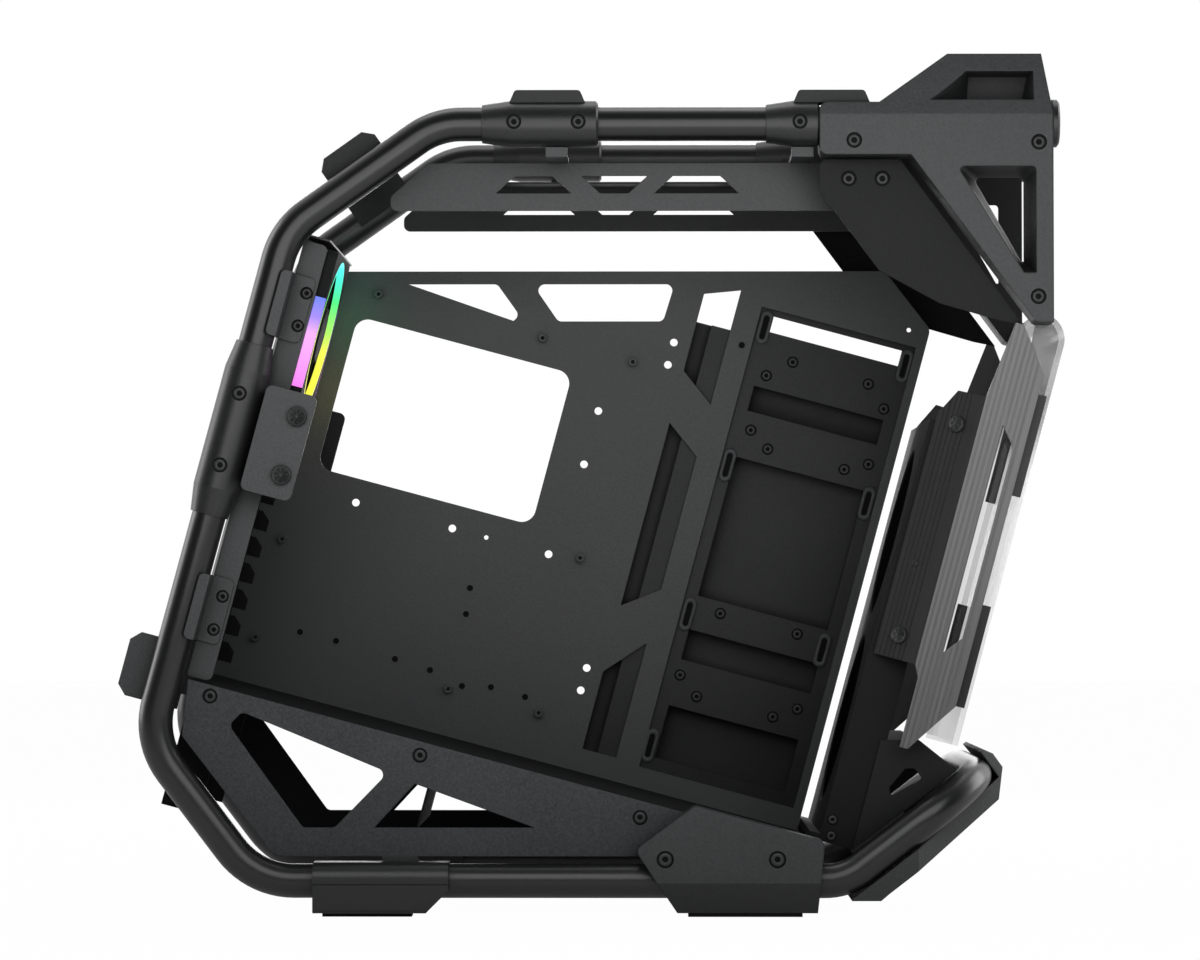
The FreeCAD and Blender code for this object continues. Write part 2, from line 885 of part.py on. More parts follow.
def tube_caps():
    caps = []
    for side, hand in SIDES:
        body = new_body(side + "_cap")
        radius = size.cap_diameter / 2
        edge = size.coupler_chamfer
        revolve(body, [(0, 0), (radius, 0), (radius, size.cap_thickness - edge),
                       (radius - edge, size.cap_thickness), (0, size.cap_thickness)])
        turn_about_y(body, 90)
        move(body, size.handle_front_x, -hand * size.half_width, size.top_run_z)
        caps.append(body)
    keep_group("tube_caps", caps)


# Feet
FOOT_OUTER = size.half_width + size.foot_width / 2
FOOT_INNER = size.half_width - size.foot_width / 2


def bore_along_x(body, hand, z):
    hole = new_sketch(body, "YZ_Plane")
    draw_circle(hole, (-hand * size.half_width, z), CLEAR_BORE)
    add_pocket(body, hole)


def feet():
    pads = []
    sole = size.foot_pad_thickness
    rear_front_x = size.rear_foot_rear_x + size.rear_foot_length
    cut = size.rear_foot_chamfer
    front_sole_x = size.front_foot_sole_rear_x + size.front_foot_sole_length
    for side, hand in SIDES:
        rear = new_body(side + "_rear_foot")
        top = size.rear_foot_top_z
        outline = [(size.rear_foot_rear_x, sole), (rear_front_x - cut, sole), (rear_front_x, sole + cut),
                   (rear_front_x, top), (size.rear_foot_rear_x, top)]
        side_plate(rear, outline, FOOT_OUTER, size.foot_width, hand)
        shoulders = [(-hand * FOOT_OUTER, top), (-hand * FOOT_INNER, top)]
        round_edges(rear, "YZ_Plane", shoulders, size.rear_foot_shoulder)
        round_edges(rear, "YZ_Plane", [(-hand * FOOT_OUTER, sole)], size.rear_foot_round)
        split = new_sketch(rear, "YZ_Plane")
        split_high = size.rear_foot_split_z + size.split_width
        draw_box(split, (-hand * FOOT_OUTER, size.rear_foot_split_z),
                 (-hand * (FOOT_OUTER - size.split_depth), split_high))
        add_pocket(rear, split)
        boss_x = size.rear_foot_rear_x + size.rear_foot_length / 2
        boss = [(boss_x, top), (boss_x + size.rear_foot_boss_length, top),
                (boss_x + size.rear_foot_boss_length, size.shroud_low_z), (boss_x, size.shroud_low_z)]
        side_plate(rear, boss, size.shroud_half_width, size.shroud_half_width - FOOT_INNER, hand)
        bore_along_x(rear, hand, size.base_run_z)
        keep(rear)

        front = new_body(side + "_front_foot")
        shell = [(size.front_foot_rear_x, size.front_foot_waist_z),
                 (size.front_foot_peak_x, size.front_foot_peak_z),
                 (size.front_foot_front_x, size.front_foot_brow_z),
                 (front_sole_x, sole), (size.front_foot_sole_rear_x, sole)]
        inner_face = size.shroud_half_width + size.seat_gap
        side_plate(front, shell, FOOT_OUTER, FOOT_OUTER - inner_face, hand)
        round_edges(front, "XZ_Plane", shell[:3], size.front_foot_round)
        block_top = size.front_foot_block_z
        block = [(size.front_foot_sole_rear_x, sole), (front_sole_x, sole), (front_sole_x, block_top),
                 (size.front_foot_sole_rear_x, block_top)]
        side_plate(front, block, FOOT_OUTER, size.foot_width, hand)
        bore_along_x(front, hand, size.base_run_z)
        fold = new_sketch(front, "YZ_Plane")
        draw_polygon(fold, [(-hand * FOOT_OUTER, size.front_foot_fold_z),
                            (-hand * (FOOT_OUTER + size.seat_gap), sole - size.seat_gap),
                            (-hand * (FOOT_OUTER - size.front_foot_fold_depth), sole - size.seat_gap)])
        add_pocket(front, fold)
        keep(front)

        for name, start, length in (
                ("rear", size.rear_foot_rear_x + size.rear_pad_inset, size.rear_pad_length),
                ("front", size.front_foot_sole_rear_x + size.front_pad_inset, size.front_foot_pad_length)):
            pad = new_body("%s_%s_foot_pad" % (side, name))
            sketch = new_sketch(pad, "XZ_Plane", hand * size.half_width)
            draw_box(sketch, (start, 0), (start + length, sole))
            add_pad(pad, sketch, size.pad_width, symmetric=True)
            pads.append(pad)
    keep_group("foot_pads", pads)


# Handle blocks, the bar between them and what is set into it
def handle_blocks():
    toe_x = size.handle_toe_x
    outline = [(size.handle_rear_x, size.handle_belly_z), (size.handle_rear_x, size.handle_sill_z),
               (size.handle_rise_x, size.handle_sill_z), (size.handle_crest_x, size.handle_crest_z),
               (size.handle_brow_x, size.handle_crest_z), (size.handle_front_x, size.handle_fold_z),
               (size.handle_front_x, size.handle_toe_z), (toe_x, size.handle_toe_z),
               (size.handle_knee_x, size.handle_belly_z)]
    window = [(size.window_rear_x, size.window_top_z), (size.window_front_x, size.window_top_z),
              (size.window_front_x, size.window_low_z),
              (size.window_front_x - size.window_toe_width, size.window_low_z)]
    throat_top = size.window_top_z - size.window_top_bevel
    throat_low = size.window_low_z + size.window_low_bevel
    inner_window = [(size.window_rear_x + size.window_rear_bevel, throat_top),
                    (size.window_front_x - size.window_front_bevel, throat_top),
                    (size.window_front_x - size.window_front_bevel, throat_low),
                    (size.window_front_x - size.window_toe_bevel, throat_low)]
    grip = [(size.grip_rear_x, size.grip_low_z), (size.grip_front_x, size.grip_low_z),
            (size.grip_front_x, size.grip_high_z), (size.grip_crown_x, size.grip_high_z)]
    palm_top = size.grip_high_z - size.grip_top_funnel
    inner_grip = [(size.grip_rear_x + size.grip_rear_funnel, size.grip_low_z),
                  (size.grip_front_x - size.grip_front_funnel, size.grip_low_z),
                  (size.grip_front_x - size.grip_corner_funnel, palm_top),
                  (size.grip_crown_x + size.grip_corner_funnel, palm_top)]
    outer = size.handle_outer_y
    for side, hand in SIDES:
        body = new_body(side + "_handle_block")
        side_plate(body, outline, outer, size.handle_thickness, hand)
        round_edges(body, "XZ_Plane", [outline[0], outline[1], outline[7]], size.handle_round)
        bore_along_x(body, hand, size.top_run_z)
        for shape, narrow, depth in ((window, inner_window, size.handle_thickness),
                                     (grip, inner_grip, size.grip_depth)):
            mouth = new_sketch(body, "XZ_Plane", hand * (outer + size.seat_gap))
            draw_polygon(mouth, shape)
            throat = new_sketch(body, "XZ_Plane", hand * (outer - depth - size.seat_gap))
            draw_polygon(throat, narrow)
            loft = body.newObject("PartDesign::SubtractiveLoft", body.Name + "_recess")
            loft.Profile = mouth
            loft.Sections = [(throat, [""])]
            loft.Ruled = True
            doc.recompute()
        round_funnel(body, window[:2], size.window_round)
        fold = new_sketch(body, "YZ_Plane")
        crest = size.handle_crest_z + size.seat_gap
        draw_polygon(fold, [(-hand * outer, size.handle_fold_z), (-hand * (outer + size.seat_gap), crest),
                            (-hand * (outer - size.handle_fold_depth), crest)])
        add_pocket(body, fold)
        keep(body)


def front_bar():
    """The cross bar that carries the buttons and ports, between the two handle blocks."""
    inset = size.bar_inset
    top = size.handle_crest_z - inset
    low = size.handle_sill_z + inset
    rear_low = (size.handle_rise_x + inset * 3, low)
    outline = [rear_low, (size.handle_front_x - inset * 2, low), (size.handle_brow_x - inset, top),
               (size.handle_crest_x + inset, top)]
    span = (size.handle_outer_y - size.handle_thickness) * 2
    bar = new_body("handle_bar")
    sketch = new_sketch(bar, "XZ_Plane")
    draw_polygon(sketch, outline)
    add_pad(bar, sketch, span, symmetric=True)

    wells = new_sketch(bar, "XY_Plane", top)
    buttons = (("power_button", size.button_pitch * 0.5, size.button_diameter),
               ("light_button", size.button_pitch * 1.5, size.small_button_diameter))
    for name, lateral, diameter in buttons:
        draw_circle(wells, (size.button_row_x, lateral), diameter + size.button_gap * 2)
    add_pocket(bar, wells, size.button_well)

    ports = (("port_c", -0.5, size.port_c_width, size.port_c_height),
             ("port_a_inner", -1.5, size.port_a_width, size.port_a_height),
             ("port_a_outer", -2.5, size.port_a_width, size.port_a_height))
    sockets = new_sketch(bar, "XY_Plane", top)
    for name, step, width, height in ports:
        middle = size.port_pitch * step
        draw_box(sockets, (size.port_row_x - height / 2, middle - width / 2),
                 (size.port_row_x + height / 2, middle + width / 2))
    add_pocket(bar, sockets, size.port_depth)
    keep(bar)

    for name, lateral, diameter in buttons:
        button = new_body(name)
        radius = diameter / 2
        revolve(button, [(0, 0), (radius, 0), (radius, size.button_height - size.button_gap),
                         (radius - size.button_gap, size.button_height), (0, size.button_height)])
        move(button, size.button_row_x, lateral, top + size.button_proud - size.button_height)
        keep(button)

    shells = []
    shell = size.port_shell
    for name, step, width, height in ports:
        body = new_body(name)
        middle = size.port_pitch * step
        sketch = new_sketch(body, "XY_Plane", top)
        draw_box(sketch, (size.port_row_x - height / 2, middle - width / 2),
                 (size.port_row_x + height / 2, middle + width / 2))
        add_pad(body, sketch, size.port_depth, reverse=True)
        mouth = new_sketch(body, "XY_Plane", top)
        draw_box(mouth, (size.port_row_x - height / 2 + shell, middle - width / 2 + shell),
                 (size.port_row_x + height / 2 - shell, middle + width / 2 - shell))
        add_pocket(body, mouth, size.port_depth - shell)
        shells.append(body)
    keep_group("port_shells", shells)


# Corner plates and the top fan bracket
def corner_plates():
    slope = (size.handle_toe_x - size.handle_knee_x) / (size.handle_belly_z - size.handle_toe_z)
    knee_x = size.handle_knee_x - size.corner_gap
    toe_z = size.corner_heel_z - size.corner_gap / 2
    toe_x = knee_x + slope * (size.corner_top_z - toe_z)
    outline = [(size.corner_rear_x, size.corner_top_z), (knee_x, size.corner_top_z), (toe_x, toe_z),
               (size.corner_heel_x, size.corner_heel_z), (size.corner_belly_x, size.corner_belly_z),
               (size.corner_fork_x, size.corner_fork_z),
               (size.corner_rear_x, size.corner_top_z - size.corner_rear_height)]
    reach = size.half_width - size.bracket_half_width
    for side, hand in SIDES:
        body = new_body(side + "_corner_plate")
        side_plate(body, outline, size.half_width, size.sheet_thickness, hand)
        round_edges(body, "XZ_Plane", [outline[0], outline[1], outline[6]], size.corner_round)
        ledge_low = size.corner_top_z - size.corner_rear_height
        ledge = [(size.corner_rear_x + size.corner_round, ledge_low),
                 (size.bracket_front_x, ledge_low),
                 (size.bracket_front_x, ledge_low + size.sheet_thickness),
                 (size.corner_rear_x + size.corner_round, ledge_low + size.sheet_thickness)]
        side_plate(body, ledge, size.half_width, reach, hand)
        keep(body)


def top_bracket():
    body = new_body("top_fan_bracket")
    top = size.bracket_top_z
    low = top - size.bracket_height
    rear = size.bracket_rear_x
    front = size.bracket_front_x
    outline = [(rear, low), (front, low), (front, top), (rear + size.bracket_snout, top),
               (rear, low + size.bracket_snout_height)]
    high = top - size.bracket_window_top
    base = top - size.bracket_window_low
    windows = []
    for middle, wide_low, narrow in ((size.rear_window_x, True, size.rear_window_half),
                                     (size.middle_window_x, False, size.middle_window_half),
                                     (size.front_window_x, True, size.front_window_half)):
        wide = narrow + size.bracket_window_flare
        lower, upper = (wide, narrow) if wide_low else (narrow, wide)
        windows.append([(middle - lower, base), (middle + lower, base),
                        (middle + upper, high), (middle - upper, high)])
    for side, hand in SIDES:
        side_plate(body, outline, size.bracket_half_width, size.sheet_thickness, hand, windows)
    round_edges(body, "XZ_Plane", [outline[0], outline[4]], size.bracket_round)
    deck = new_sketch(body, "XY_Plane", top - size.sheet_thickness)
    half = size.bracket_half_width
    deck_rear = rear + size.bracket_snout
    draw_box(deck, (deck_rear, -half), (front, half))
    draw_box(deck, (deck_rear + size.bracket_tie, size.bracket_flange - half),
             (front - size.bracket_tie, half - size.bracket_flange))
    add_pad(body, deck, size.sheet_thickness)
    keep(body)


def hangers():
    """Straps from the couplers down to the fan bracket's deck."""
    pieces = []
    low = size.bracket_top_z
    strap_top = low + size.hanger_thickness
    coupler_low = size.top_run_z - size.coupler_diameter / 2
    for side, hand in SIDES:
        for spot, x in (("rear", size.rear_hanger_x), ("front", size.front_hanger_x)):
            body = new_body("%s_%s_hanger" % (side, spot))
            outer = size.half_width + size.hanger_width / 4
            inner = size.bracket_half_width - size.bracket_flange / 2
            end = x + size.hanger_width
            strap = [(x, low), (end, low), (end, strap_top), (x, strap_top)]
            side_plate(body, strap, outer, outer - inner, hand)
            post_top = coupler_low - size.seat_gap
            post = [(x, strap_top), (end, strap_top), (end, post_top), (x, post_top)]
            side_plate(body, post, outer, size.hanger_width / 2, hand)
            pieces.append(body)
    keep_group("bracket_hangers", pieces)


# Braces across the rear
def rear_brace(name, center, direction, reach, depth):
    """A folded channel between the tubes; direction is the tube's own, outward is to its left."""
    along, up = direction
    half = size.brace_length / 2
    cut = size.brace_chamfer

    def place(a, n):
        return center[0] + along * a - up * n, center[1] + up * a + along * n

    outline = [place(-half, -depth), place(half, -depth), place(half, reach - cut),
               place(half - cut, reach), place(cut - half, reach), place(-half, reach - cut)]
    body = new_body(name)
    outer = size.half_width - TUBE_RADIUS - size.seat_gap
    for side, hand in SIDES:
        side_plate(body, outline, outer, size.sheet_thickness, hand)
    skin = size.sheet_thickness
    web = new_sketch(body, "XZ_Plane")
    draw_polygon(web, [place(cut - half, reach - skin), place(half - cut, reach - skin),
                       place(half - cut, reach), place(cut - half, reach)])
    add_pad(body, web, outer * 2, symmetric=True)
    keep(body)


def braces():
    run = size.top_bend_x - size.shoulder_x
    rise = size.top_run_z - size.shoulder_z
    length = math.hypot(run.value, rise.value)
    whole = Size(length, "sqrt(%s ^ 2 + %s ^ 2)" % (run.text, rise.text))
    direction = (run / whole, rise / whole)
    center = (size.shoulder_x + direction[0] * size.upper_brace_along,
              size.shoulder_z + direction[1] * size.upper_brace_along)
    rear_brace("upper_rear_brace", center, direction, size.upper_brace_reach, size.upper_brace_depth)
    rear_brace("lower_rear_brace", upright(REAR_TUBE_U, size.lower_brace_v), (LEAN_SIN, LEAN_COS),
               size.lower_brace_reach, size.lower_brace_depth)


# Rear panel with its slot covers, fan, clips and thumbscrew plates
def rear_panel():
    body = new_body("rear_panel", leans=True)
    half = size.panel_half_width
    sketch = new_sketch(body, "YZ_Plane", size.panel_u)
    draw_box(sketch, (-half, size.panel_low_v), (half, size.panel_high_v))
    add_pad(body, sketch, size.sheet_thickness)
    front = size.panel_u + size.panel_flange
    crown_half = half - size.panel_lip_inset
    crown_v = size.fan_v + size.fan_side / 2 + size.panel_crown
    cross_plate(body, (size.panel_u, size.fan_v), (size.panel_u + size.sheet_thickness, crown_v), crown_half)
    cross_plate(body, (size.panel_u, crown_v - size.sheet_thickness), (front, crown_v), crown_half)
    holes = new_sketch(body, "YZ_Plane", size.panel_u)
    draw_circle(holes, (size.fan_y, size.fan_v), size.fan_duct_diameter)
    draw_box(holes, (size.io_left_y, size.io_low_v),
             (size.io_left_y + size.io_width, size.io_low_v + size.io_height))
    slots_high = size.slot_low_v + size.slot_pitch * size.slot_count
    draw_box(holes, (-size.slot_half_width, size.slot_low_v), (size.slot_half_width, slots_high))
    add_pocket(body, holes, size.sheet_thickness * 2, symmetric=True)
    outline = [(size.panel_u, size.panel_low_v), (front, size.panel_low_v), (front, size.panel_high_v),
               (size.panel_u, size.panel_high_v)]
    for side, hand in SIDES:
        side_plate(body, outline, half, size.sheet_thickness, hand)
    round_edges(body, "XZ_Plane", [outline[1], outline[2]], size.thumb_round)
    keep(body)


def slot_covers():
    inside = size.panel_u + size.sheet_thickness
    covers = []
    for number in range(round(size.slot_count.value)):
        body = new_body("slot_cover_%d" % (number + 1), leans=True)
        low = size.slot_low_v + size.slot_pitch * number + size.slot_cover_gap / 2
        high = low + size.slot_pitch - size.slot_cover_gap
        half = size.slot_half_width + size.slot_cover_lap
        sketch = new_sketch(body, "YZ_Plane", inside)
        draw_box(sketch, (-half, low), (half, high))
        add_pad(body, sketch, size.sheet_thickness)
        tab_end = inside + size.slot_tab
        tab_high = high - size.slot_cover_lap
        tab = [(inside, low), (tab_end, low), (tab_end, tab_high - size.slot_notch),
               (tab_end - size.slot_notch, tab_high), (inside, tab_high)]
        side_plate(body, tab, half, size.sheet_thickness, 1)
        covers.append(body)
    keep_group("slot_covers", covers)


FAN_REAR = size.panel_u + size.sheet_thickness


def rear_fan():
    half = size.fan_side / 2
    middle = (size.fan_y, size.fan_v)
    frame = new_body("rear_fan_frame", leans=True)
    sketch = new_sketch(frame, "YZ_Plane", FAN_REAR)
    corners = [(size.fan_y - half, size.fan_v - half), (size.fan_y + half, size.fan_v - half),
               (size.fan_y + half, size.fan_v + half), (size.fan_y - half, size.fan_v + half)]
    draw_polygon(sketch, corners)
    draw_circle(sketch, middle, size.fan_duct_diameter)
    add_pad(frame, sketch, size.fan_depth)
    round_edges(frame, "YZ_Plane", corners, size.thumb_round)
    base = new_sketch(frame, "YZ_Plane", FAN_REAR)
    draw_circle(base, middle, size.fan_hub_diameter)
    reach = size.fan_duct_diameter / 2 + size.fan_strut_width / 4
    strut = size.fan_strut_width / 2
    add_pad(frame, base, size.fan_base_thickness)
    for low, high in (((size.fan_y - reach, size.fan_v - strut), (size.fan_y + reach, size.fan_v + strut)),
                      ((size.fan_y - strut, size.fan_v - reach), (size.fan_y + strut, size.fan_v + reach))):
        bar = new_sketch(frame, "YZ_Plane", FAN_REAR)
        draw_box(bar, low, high)
        add_pad(frame, bar, size.fan_base_thickness)
    pin = new_sketch(frame, "YZ_Plane", FAN_REAR)
    draw_circle(pin, middle, size.fan_pin_diameter)
    add_pad(frame, pin, size.fan_depth / 2)
    keep(frame)

    ring = new_body("rear_fan_ring", leans=True)
    ring_sketch = new_sketch(ring, "YZ_Plane", FAN_REAR + size.fan_depth - size.ring_depth)
    outer = size.fan_duct_diameter - size.seat_gap * 2
    draw_circle(ring_sketch, middle, outer)
    draw_circle(ring_sketch, middle, outer - size.ring_thickness * 2)
    add_pad(ring, ring_sketch, size.ring_depth)
    pieces = [ring]
    bar_u = FAN_REAR + size.fan_depth - size.light_bar_width
    bar_low = size.fan_v - size.light_bar_drop - size.light_bar_length / 2
    bar_high = bar_low + size.light_bar_length
    for side, hand in SIDES:
        bar = new_body(side + "_light_bar", leans=True)
        outline = [(bar_u, bar_low), (bar_u + size.light_bar_width, bar_low),
                   (bar_u + size.light_bar_width, bar_high), (bar_u, bar_high)]
        sketch = new_sketch(bar, "XZ_Plane", hand * half - size.fan_y)
        draw_polygon(sketch, outline)
        add_pad(bar, sketch, size.light_bar_thickness, reverse=hand < 0)
        pieces.append(bar)
    keep_group("rear_fan_lights", pieces)

    rotor = new_body("rear_fan_rotor", leans=True)
    start = FAN_REAR + size.fan_base_thickness + size.fan_running_gap
    length = size.fan_depth - size.fan_base_thickness - size.fan_running_gap * 2
    hub = new_sketch(rotor, "XY_Plane")
    shaft = size.fan_pin_diameter / 2 + size.fan_pin_gap
    blind = size.fan_depth / 2 - size.fan_base_thickness
    radius = size.fan_hub_diameter / 2
    draw_polygon(hub, [(0, shaft), (0, radius), (length - size.button_gap * 4, radius),
                       (length, radius - size.button_gap * 4), (length, 0), (blind, 0), (blind, shaft)])
    turned = rotor.newObject("PartDesign::Revolution", "rotor_hub")
    turned.Profile = hub
    turned.ReferenceAxis = (origin_feature(rotor, "X_Axis"), [""])
    turned.Angle = 360
    doc.recompute()
    sections = []
    for station, pitch in ((radius - size.fan_running_gap, size.fan_root_pitch),
                           (size.fan_tip_diameter / 2, size.fan_tip_pitch)):
        section = new_sketch(rotor, "XY_Plane", station)
        half_chord = size.fan_blade_chord / 2
        half_skin = size.fan_blade_thickness / 2
        across, forward = sine(pitch), cosine(pitch)
        center = length / 2
        corner_list = []
        for chord, skin in ((-1, -1), (1, -1), (1, 1), (-1, 1)):
            x = center + across * half_chord * chord - forward * half_skin * skin
            y = forward * half_chord * chord + across * half_skin * skin
            corner_list.append((x, y))
        draw_polygon(section, corner_list)
        sections.append(section)
    blade = rotor.newObject("PartDesign::AdditiveLoft", "rotor_blade")
    blade.Profile = sections[0]
    blade.Sections = [(sections[1], [""])]
    blade.Ruled = True
    doc.recompute()
    blades = rotor.newObject("PartDesign::PolarPattern", "rotor_blades")
    blades.Originals = [blade]
    blades.Axis = (origin_feature(rotor, "X_Axis"), [""])
    blades.Angle = 360
    bind(blades, "Occurrences", size.fan_blades)
    rotor.Tip = blades
    place = upright(start, size.fan_v)
    move(rotor, place[0], size.fan_y, place[1])
    doc.recompute()
    keep(rotor)


def tube_clips():
    """Folded clips that hook the rear panel's flanges over the frame tubes."""
    skin = size.sheet_thickness
    web = REAR_TUBE_U + TUBE_RADIUS + size.seat_gap
    half = size.panel_half_width
    outer = size.clip_outer_y
    clips = []
    for side, hand in SIDES:
        for spot, low in (("upper", size.upper_clip_v), ("lower", size.lower_clip_v)):
            body = new_body("%s_%s_clip" % (side, spot), leans=True)
            sketch = new_sketch(body, "XY_Plane", low)
            section = [(web - size.clip_lip + skin, outer), (web + skin, outer), (web + skin, half + skin),
                       (web + skin + size.clip_foot, half + skin), (web + skin + size.clip_foot, half),
                       (web, half), (web, outer - skin), (web - size.clip_lip + skin, outer - skin)]
            draw_polygon(sketch, [(u, -hand * y) for u, y in section])
            add_pad(body, sketch, size.clip_length)
            hook = web - size.clip_lip + skin
            foot = web + skin + size.clip_foot
            corners = [(u, v) for u in (hook, foot) for v in (low, low + size.clip_length)]
            round_edges(body, "XZ_Plane", corners, size.clip_round)
            clips.append(body)
    keep_group("tube_clips", clips)


def thumb_plates():
    skin = size.thumb_plate_thickness
    rear = size.thumb_plate_rear_u
    front = rear + size.thumb_plate_width
    low = size.thumb_plate_low_v
    high = low + size.thumb_plate_height
    screws = []
    for side, hand in SIDES:
        body = new_body(side + "_thumb_plate", leans=True)
        outline = [(rear, low), (front, low), (front, high), (rear, high)]
        side_plate(body, outline, size.thumb_plate_y, skin, hand)
        round_edges(body, "XZ_Plane", outline, size.thumb_round)
        inset = size.thumb_round
        rib = [(rear, low + inset), (rear + skin, low + inset), (rear + skin, high - inset),
               (rear, high - inset)]
        side_plate(body, rib, size.thumb_plate_y, size.thumb_plate_y - size.panel_half_width, hand)
        keep(body)
        for number, v in enumerate((low + size.thumb_screw_inset, high - size.thumb_screw_inset)):
            screw = new_body("%s_thumbscrew_%d" % (side, number + 1), leans=True)
            head = new_sketch(screw, "XZ_Plane", hand * size.thumb_plate_y)
            draw_circle(head, (size.thumb_screw_u, v), size.thumb_screw_diameter)
            add_pad(screw, head, size.thumb_screw_height, reverse=hand < 0)
            screws.append(screw)
    keep_group("thumbscrews", screws)


# Board tray and what it carries
def tray_outline():
    rear = size.panel_u + size.sheet_thickness
    front = size.tray_front_u
    return [(rear, size.shroud_top_v), (front, size.shroud_top_v), (front, size.tray_front_top_v),
            on_level(front - size.tray_chamfer_u, size.tray_top_z), on_level(rear, size.tray_top_z)]


def cable_slots():
    """The three cable slots: low and high ends, each with a slanted end."""
    rear = size.cable_rear_u
    front = rear + size.cable_width
    slant = size.cable_slant
    high_top, mid_top, low_top = size.cable_high_top_v, size.cable_mid_top_v, size.cable_low_top_v
    high_low = high_top - size.cable_high_length
    mid_low = mid_top - size.cable_mid_length
    low_low = low_top - size.cable_low_length
    return (
        [(rear, high_low + slant), (front, high_low), (front, high_top), (rear, high_top - slant / 2)],
        [(rear, mid_low), (front, mid_low + slant), (front, mid_top - slant), (rear, mid_top)],
        [(rear, low_low), (front, low_low), (front, low_top), (rear, low_top - slant * 1.5)])


def board_tray():
    body = new_body("board_tray", leans=True)
    top = size.cut_top_z
    cpu = [(size.cpu_rear_u, size.cpu_low_v), (size.cpu_rear_u + size.cpu_width, size.cpu_low_v),
           (size.cpu_rear_u + size.cpu_width, size.cpu_low_v + size.cpu_height),
           (size.cpu_rear_u, size.cpu_low_v + size.cpu_height)]
    wedge = [leaning(size.fin_cut_rear_x, top), leaning(size.fin_cut_front_x, top),
             leaning(size.fin_cut_tip_x, size.fin_cut_low_z + size.fin_cut_tip_rise),
             leaning(size.fin_cut_tip_x - size.trap_round, size.fin_cut_low_z)]
    trapezoid = [leaning(size.trap_rear_x, top), leaning(size.trap_front_x, top),
                 leaning(size.trap_front_x - size.trap_front_slope, size.trap_low_z),
                 leaning(size.trap_rear_x + size.trap_rear_slope, size.trap_low_z)]
    drive = [(size.drive_rear_u, size.drive_low_v), (size.drive_rear_u + size.drive_width, size.drive_low_v),
             (size.drive_rear_u + size.drive_width, size.drive_low_v + size.drive_height),
             (size.drive_rear_u, size.drive_low_v + size.drive_height)]
    outline = tray_outline()
    sketch = new_sketch(body, "XZ_Plane", -size.tray_y)
    draw_polygon(sketch, outline)
    for window in (cpu, wedge, trapezoid, drive) + cable_slots():
        draw_polygon(sketch, window)
    cable_u = size.cable_rear_u - size.cable_hole_inset
    holes = [(size.hole_row_rear_u, size.hole_row_v), (size.hole_row_middle_u, size.hole_row_v),
             (size.hole_row_front_u, size.hole_row_v), (size.side_hole_u, size.side_hole_low_v),
             (size.side_hole_u, size.side_hole_low_v + size.side_hole_pitch),
             (cable_u, size.cable_hole_high_v), (cable_u, size.cable_hole_high_v - size.cable_hole_pitch),
             (cable_u, size.cable_hole_low_v), (cable_u, size.cable_hole_low_v - size.cable_hole_pitch)]
    for hole in holes:
        draw_circle(sketch, hole, size.tray_hole_diameter)
    for hole in ((size.pin_hole_u, size.hole_row_v), (size.corner_hole_u, size.corner_hole_v)):
        draw_circle(sketch, hole, size.pin_hole_diameter)
    add_pad(body, sketch, size.sheet_thickness, reverse=True)
    round_edges(body, "XZ_Plane", cpu, size.cpu_round)
    round_edges(body, "XZ_Plane", wedge[1:3] + trapezoid, size.trap_round)
    round_edges(body, "XZ_Plane", [outline[2]], size.tray_round)
    keep(body)


def standoffs():
    left = size.board_left_u
    top = size.board_top_v
    middle = left + size.board_middle_column
    right = left + size.board_right_column
    bottom = top - size.board_bottom_row
    places = [(left + size.board_inner_column, top), (middle, top), (right, top),
              (right, top - size.board_middle_row), (left, top - size.board_small_row),
              (left, bottom), (middle, bottom), (right, bottom)]
    posts = []
    for number, place in enumerate(places, start=1):
        body = new_body("standoff_%d" % number, leans=True)
        sketch = new_sketch(body, "XZ_Plane", -size.tray_y)
        draw_circle(sketch, place, size.standoff_diameter)
        draw_circle(sketch, place, size.standoff_bore)
        add_pad(body, sketch, size.standoff_height)
        posts.append(body)
    keep_group("standoffs", posts)


def cable_brackets():
    """Stepped brackets behind the cable slots, open along their rear edge."""
    behind = -(size.tray_y + size.sheet_thickness)
    skin = size.sheet_thickness
    pieces = []
    for number, slot in enumerate(cable_slots(), start=1):
        body = new_body("cable_bracket_%d" % number, leans=True)
        heights = sorted((point[1] for point in slot), key=lambda v: v.value)
        low = heights[0] - size.cable_bracket_lap
        high = heights[-1] + size.cable_bracket_lap
        if number == 1:
            high = heights[-1] - size.cable_hand_hole
        inner = size.cable_rear_u + size.cable_width / 2
        front = size.cable_rear_u + size.cable_width
        floor = new_sketch(body, "XZ_Plane", behind - size.cable_bracket_depth)
        draw_box(floor, (size.cable_rear_u - size.trap_round, low), (inner, high))
        add_pad(body, floor, skin, reverse=True)
        wall = new_sketch(body, "XZ_Plane", behind)
        draw_box(wall, (inner - skin, low), (inner, high))
        add_pad(body, wall, size.cable_bracket_depth + skin, reverse=True)
        lip = new_sketch(body, "XZ_Plane", behind)
        draw_box(lip, (inner - skin, low), (front + size.trap_round, high))
        add_pad(body, lip, skin, reverse=True)
        pieces.append(body)
    keep_group("cable_brackets", pieces)


